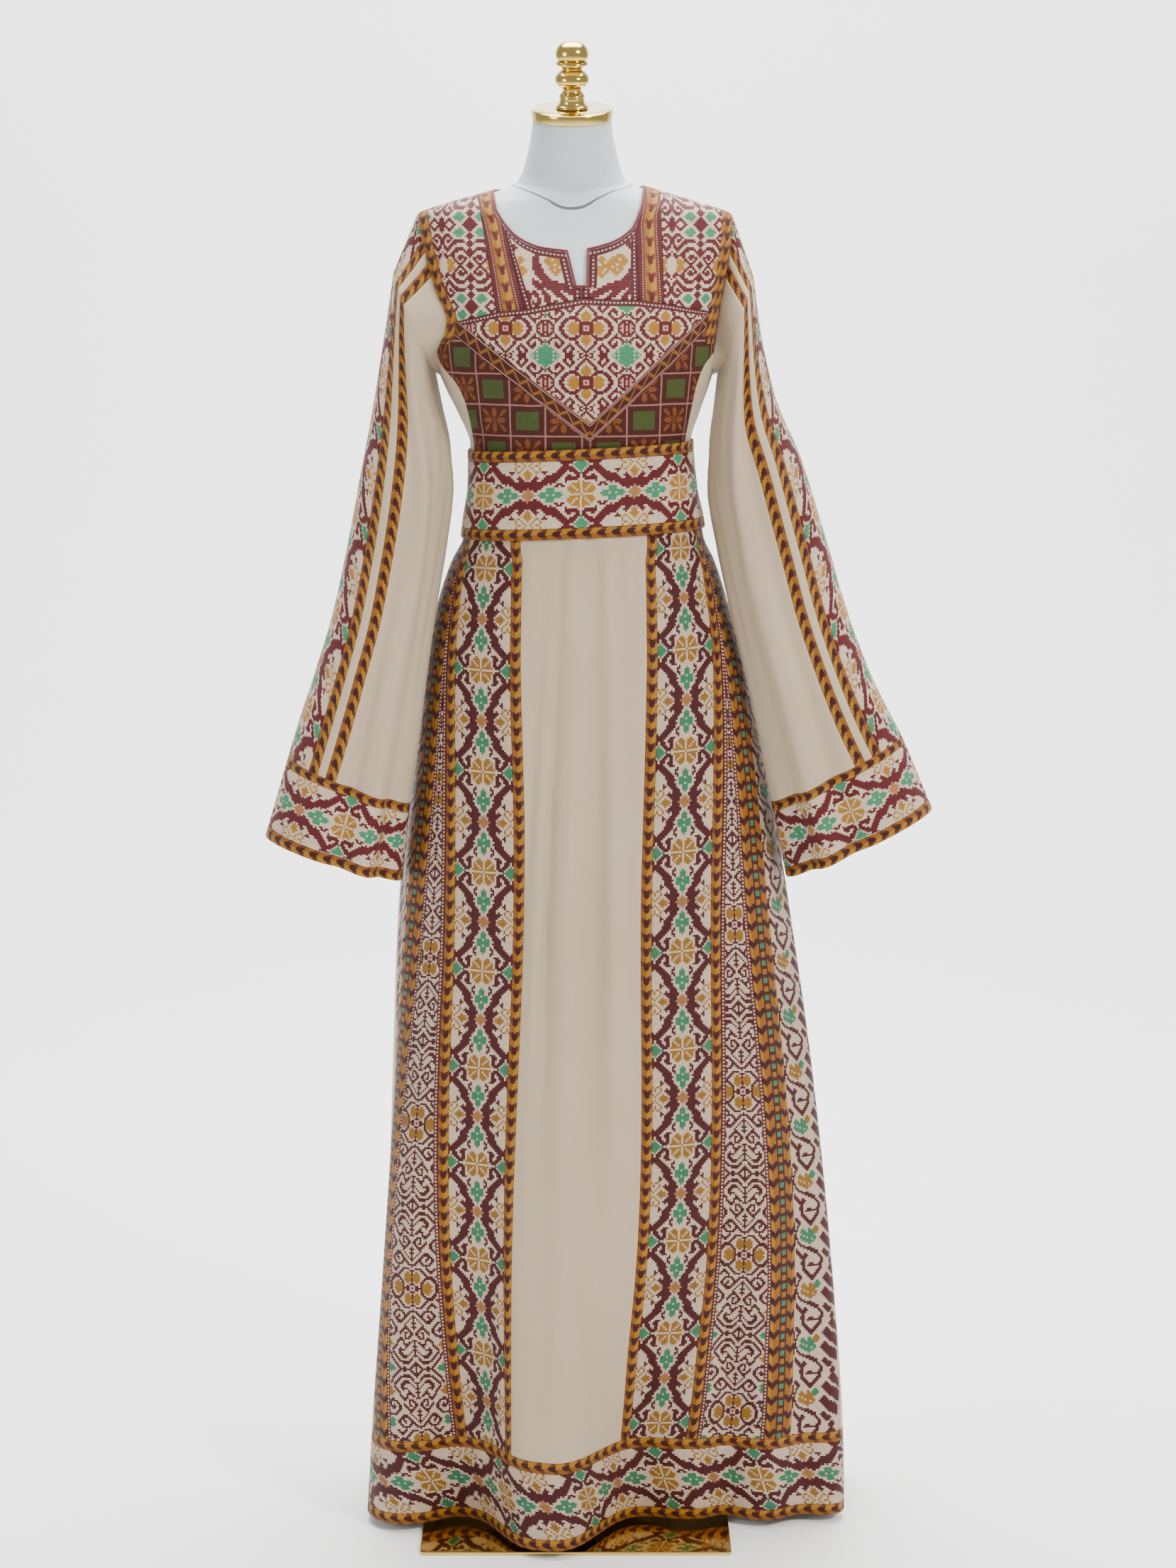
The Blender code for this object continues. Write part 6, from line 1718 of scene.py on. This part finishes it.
@dataclass
class Stand:
    """The covered form, its brass cap and finial, and the pole, flange and base plate."""

    neck: tuple = (-0.0035, -0.021, 1.6075)
    tilt: float = math.radians(14.0)
    sides: int = 72
    plate: tuple = (0.355, 0.32, 0.004)
    plate_corner: float = 0.004
    plate_edge: float = 0.0007
    cap: tuple = ((0.044, 0.0003), (0.0448, 0.0008), (0.045, 0.0016), (0.045, 0.0098), (0.0447, 0.0107),
                  (0.0438, 0.0113), (0.03, 0.0117), (0.001, 0.0118))
    finial: tuple = (
        (0.0175, 0.0121), (0.018, 0.014), (0.0145, 0.0175), (0.0138, 0.023), (0.0142, 0.0262),
        (0.0115, 0.029), (0.0102, 0.0318), (0.0125, 0.0345), (0.0175, 0.0385), (0.019, 0.043),
        (0.0178, 0.0478), (0.014, 0.0515), (0.011, 0.0545), (0.0135, 0.0575), (0.0172, 0.059),
        (0.0176, 0.0618), (0.015, 0.064), (0.0178, 0.0665), (0.0184, 0.071), (0.0172, 0.076),
        (0.0138, 0.0808), (0.008, 0.0838), (0.0008, 0.0848),
    )

    def turned(self, node: str, profile: Line, finish: Brass, store: Wardrobe) -> None:
        """Turn a piece on the neck's axis: a disc raised ring by ring along its profile."""
        select_only(None)
        bpy.ops.mesh.primitive_circle_add(vertices=self.sides, radius=profile[0][0], fill_type="NGON",
                                          location=(0, 0, profile[0][1]))
        thing = bpy.context.object
        thing.name = f"turned_{node}"
        bpy.ops.object.transform_apply(location=True)
        mode("EDIT")
        bpy.ops.mesh.select_all(action="SELECT")
        for (radius, height), (wider, higher) in zip(profile, profile[1:]):
            bpy.ops.mesh.extrude_region_move(TRANSFORM_OT_translate={"value": (0, 0, higher - height)})
            ratio = wider / radius
            bpy.ops.transform.resize(value=(ratio, ratio, 1), center_override=(0, 0, higher))
        bpy.ops.mesh.select_all(action="SELECT")
        bpy.ops.mesh.normals_make_consistent(inside=False)
        mode("OBJECT")
        thing.data.transform(Matrix.Translation(self.neck) @ Matrix.Rotation(self.tilt, 4, "X"))
        bpy.ops.object.shade_smooth_by_angle(angle=math.radians(38))
        self.hand_over(thing, node, finish, store)

    def hand_over(self, thing: Thing, node: str, finish: object, store: Wardrobe) -> None:
        """Dress a hard piece, and let it stand for its solid."""
        thing.data.materials.clear()
        thing.data.materials.append(store.cloth(finish))
        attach(thing, "root")
        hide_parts(node)
        log.info("%s: %d faces", thing.name, len(thing.data.polygons))

    def torso(self, store: Wardrobe) -> None:
        """Round off the form: a merged copy of its solid, subdivided."""
        solid = frame["nodes"]["form_torso"]
        thing = bpy.data.objects.new("covered_form", solid.data.copy())
        bpy.context.collection.objects.link(thing)
        select_only(thing)
        mode("EDIT")
        bpy.ops.mesh.select_all(action="SELECT")
        bpy.ops.mesh.remove_doubles(threshold=1e-5)
        flat = math.radians(60)
        bpy.ops.mesh.tris_convert_to_quads(face_threshold=flat, shape_threshold=flat)
        bpy.ops.mesh.edges_select_sharp(sharpness=math.radians(50))
        bpy.ops.transform.edge_crease(value=0.9)
        bpy.ops.mesh.select_all(action="SELECT")
        bpy.ops.mesh.normals_make_consistent(inside=False)
        mode("OBJECT")
        rounder = thing.modifiers.new("round", "SUBSURF")
        rounder.levels = rounder.render_levels = 2
        bpy.ops.object.modifier_apply(modifier=rounder.name)
        bpy.ops.object.shade_smooth_by_angle(angle=math.radians(50))
        self.hand_over(thing, "form_torso", FormCover(), store)

    def base(self, store: Wardrobe) -> None:
        """Cut the base plate, with rounded corners and a broken edge."""
        height = self.plate[2]
        select_only(None)
        bpy.ops.mesh.primitive_cube_add(size=1.0, location=(0, 0, height / 2), scale=self.plate)
        thing = bpy.context.object
        thing.name = "mirror_base_plate"
        bpy.ops.object.transform_apply(location=True, scale=True)
        mode("EDIT")
        bpy.ops.mesh.select_all(action="DESELECT")
        mode("OBJECT")
        for edge in thing.data.edges:
            ends = [thing.data.vertices[index].co for index in edge.vertices]
            edge.select = abs(ends[0].z - ends[1].z) > height / 2
        mode("EDIT")
        bpy.ops.mesh.select_mode(type="EDGE")
        bpy.ops.mesh.bevel(offset=self.plate_corner, segments=6, affect="EDGES")
        mode("OBJECT")
        edge = thing.modifiers.new("edge", "BEVEL")
        edge.width, edge.segments, edge.limit_method = self.plate_edge, 2, "ANGLE"
        bpy.ops.object.modifier_apply(modifier=edge.name)
        bpy.ops.object.shade_smooth_by_angle(angle=math.radians(40))
        self.hand_over(thing, "base_plate", Brass("mirror brass plate", 0.00001, 0.06), store)

    def build(self, store: Wardrobe) -> None:
        """Build the form and its stand."""
        brass = Brass("polished turned brass", 0.00002)
        self.torso(store)
        self.turned("neck_cap", list(self.cap), brass, store)
        self.turned("finial", rounded(list(self.finial), 3), brass, store)
        self.base(store)
        for node in ("pole", "pole_flange"):
            solid = frame["nodes"][node]
            solid.data.materials.clear()
            solid.data.materials.append(store.cloth(brass))
            log.info("%s: its solid, in brass", node)


# ---------------------------------------------------------------- camera, light and floor


@dataclass
class Studio:
    """The camera at the photograph's place, soft lights and a pale floor."""

    place: tuple = (0.014, -3.6, 1.45)
    pitch: float = 9.26
    lens: float = 73.24
    world_colour: str = "#F2F3F4"
    world_strength: float = 0.58
    # floor: width, depth and how far it is moved forward; then the steps of its curve and the wall
    floor_size: tuple = (14.0, 9.0, 1.5)
    curve_steps: int = 8
    curve_step: float = 0.28
    wall_height: float = 6.0
    lights: tuple = (
        ("key", (2.6, -2.7, 3.2), (0.0, 0.0, 1.1), 1.1, 185.0, (1.0, 0.96, 0.91)),
        ("fill", (-3.0, -2.4, 1.8), (0.0, 0.0, 0.8), 1.8, 50.0, (1.0, 0.98, 0.95)),
        ("top", (0.2, 1.0, 4.0), (0.0, 0.0, 1.0), 2.4, 90.0, (1.0, 1.0, 1.0)),
        ("backdrop", (0.0, 1.2, 4.4), (0.0, 3.3, 0.8), 4.0, 560.0, (1.0, 1.0, 1.0)),
    )

    def camera(self) -> None:
        """Place the camera."""
        data = bpy.data.cameras.new("camera")
        data.sensor_fit, data.sensor_height, data.lens = "VERTICAL", 36.0, self.lens
        thing = bpy.data.objects.new("camera", data)
        thing.location = self.place
        thing.rotation_euler = (math.radians(90 - self.pitch), 0, 0)
        bpy.context.collection.objects.link(thing)
        bpy.context.scene.camera = thing

    def lamps(self) -> None:
        """Place the soft lights and the pale surroundings."""
        for name, place, target, size, power, colour in self.lights:
            data = bpy.data.lights.new(name, "AREA")
            data.shape, data.size, data.energy, data.color = "DISK", size, power, colour
            thing = bpy.data.objects.new(name, data)
            thing.location = place
            way = np.array(place) - np.array(target)
            flat = math.hypot(way[0], way[1])
            thing.rotation_euler = (math.atan2(flat, way[2]), 0, math.atan2(way[1], way[0]) + math.pi / 2)
            bpy.context.collection.objects.link(thing)
        world = bpy.data.worlds.new("pale room")
        world.use_nodes = True
        world.node_tree.nodes["Background"].inputs[0].default_value = linear(self.world_colour)
        world.node_tree.nodes["Background"].inputs[1].default_value = self.world_strength
        bpy.context.scene.world = world

    def floor(self) -> None:
        """Lay the plain floor, with a wall that rises behind in a soft curve."""
        select_only(None)
        bpy.ops.mesh.primitive_plane_add(size=1.0, location=(0, 0, 0))
        thing = bpy.context.object
        thing.name = "floor"
        wide, deep, forward = self.floor_size
        for vertex in thing.data.vertices:
            vertex.co = (vertex.co.x * wide, vertex.co.y * deep - forward, -0.0002)
        mode("EDIT")
        bpy.ops.mesh.select_all(action="DESELECT")
        mode("OBJECT")
        for edge in thing.data.edges:
            edge.select = all(thing.data.vertices[index].co.y > 2 for index in edge.vertices)
        mode("EDIT")
        bpy.ops.mesh.select_mode(type="EDGE")
        for turn in range(1, self.curve_steps + 1):
            angle = math.radians(90 * (turn - 0.5) / self.curve_steps)
            step = (0, self.curve_step * math.cos(angle), self.curve_step * math.sin(angle))
            bpy.ops.mesh.extrude_region_move(TRANSFORM_OT_translate={"value": step})
        bpy.ops.mesh.extrude_region_move(TRANSFORM_OT_translate={"value": (0, 0, self.wall_height)})
        mode("OBJECT")
        bpy.ops.object.shade_smooth()
        net = Net("plain pale paper", Specular_IOR_Level=0.2)
        grain = net.add("TexNoise", net.add("TexCoord", out=3), None, 3.0, 2.0)
        colour = net.add("Mix", grain, *SKIPPED, linear("#F6F6F6"), linear("#FAFAFA"), **COLOURS)
        thing.data.materials.append(net.finish(colour, 0.8, grain, 0.0001, 0.1))

    def build(self) -> None:
        """Build the studio."""
        self.camera()
        self.lamps()
        self.floor()


def main() -> None:
    """Build the studio and the whole robe."""
    logging.basicConfig(level=logging.INFO, format="%(message)s")
    store = Wardrobe()
    Studio().build()
    Stand().build(store)
    bodice = Bodice()
    bodice.build(store)
    Skirt().build(store)
    Belt().build(store)
    for side in (0, 1):
        Sleeve(side, bodice, SLEEVES[side]).build(store)


if __name__ == "__main__":
    main()
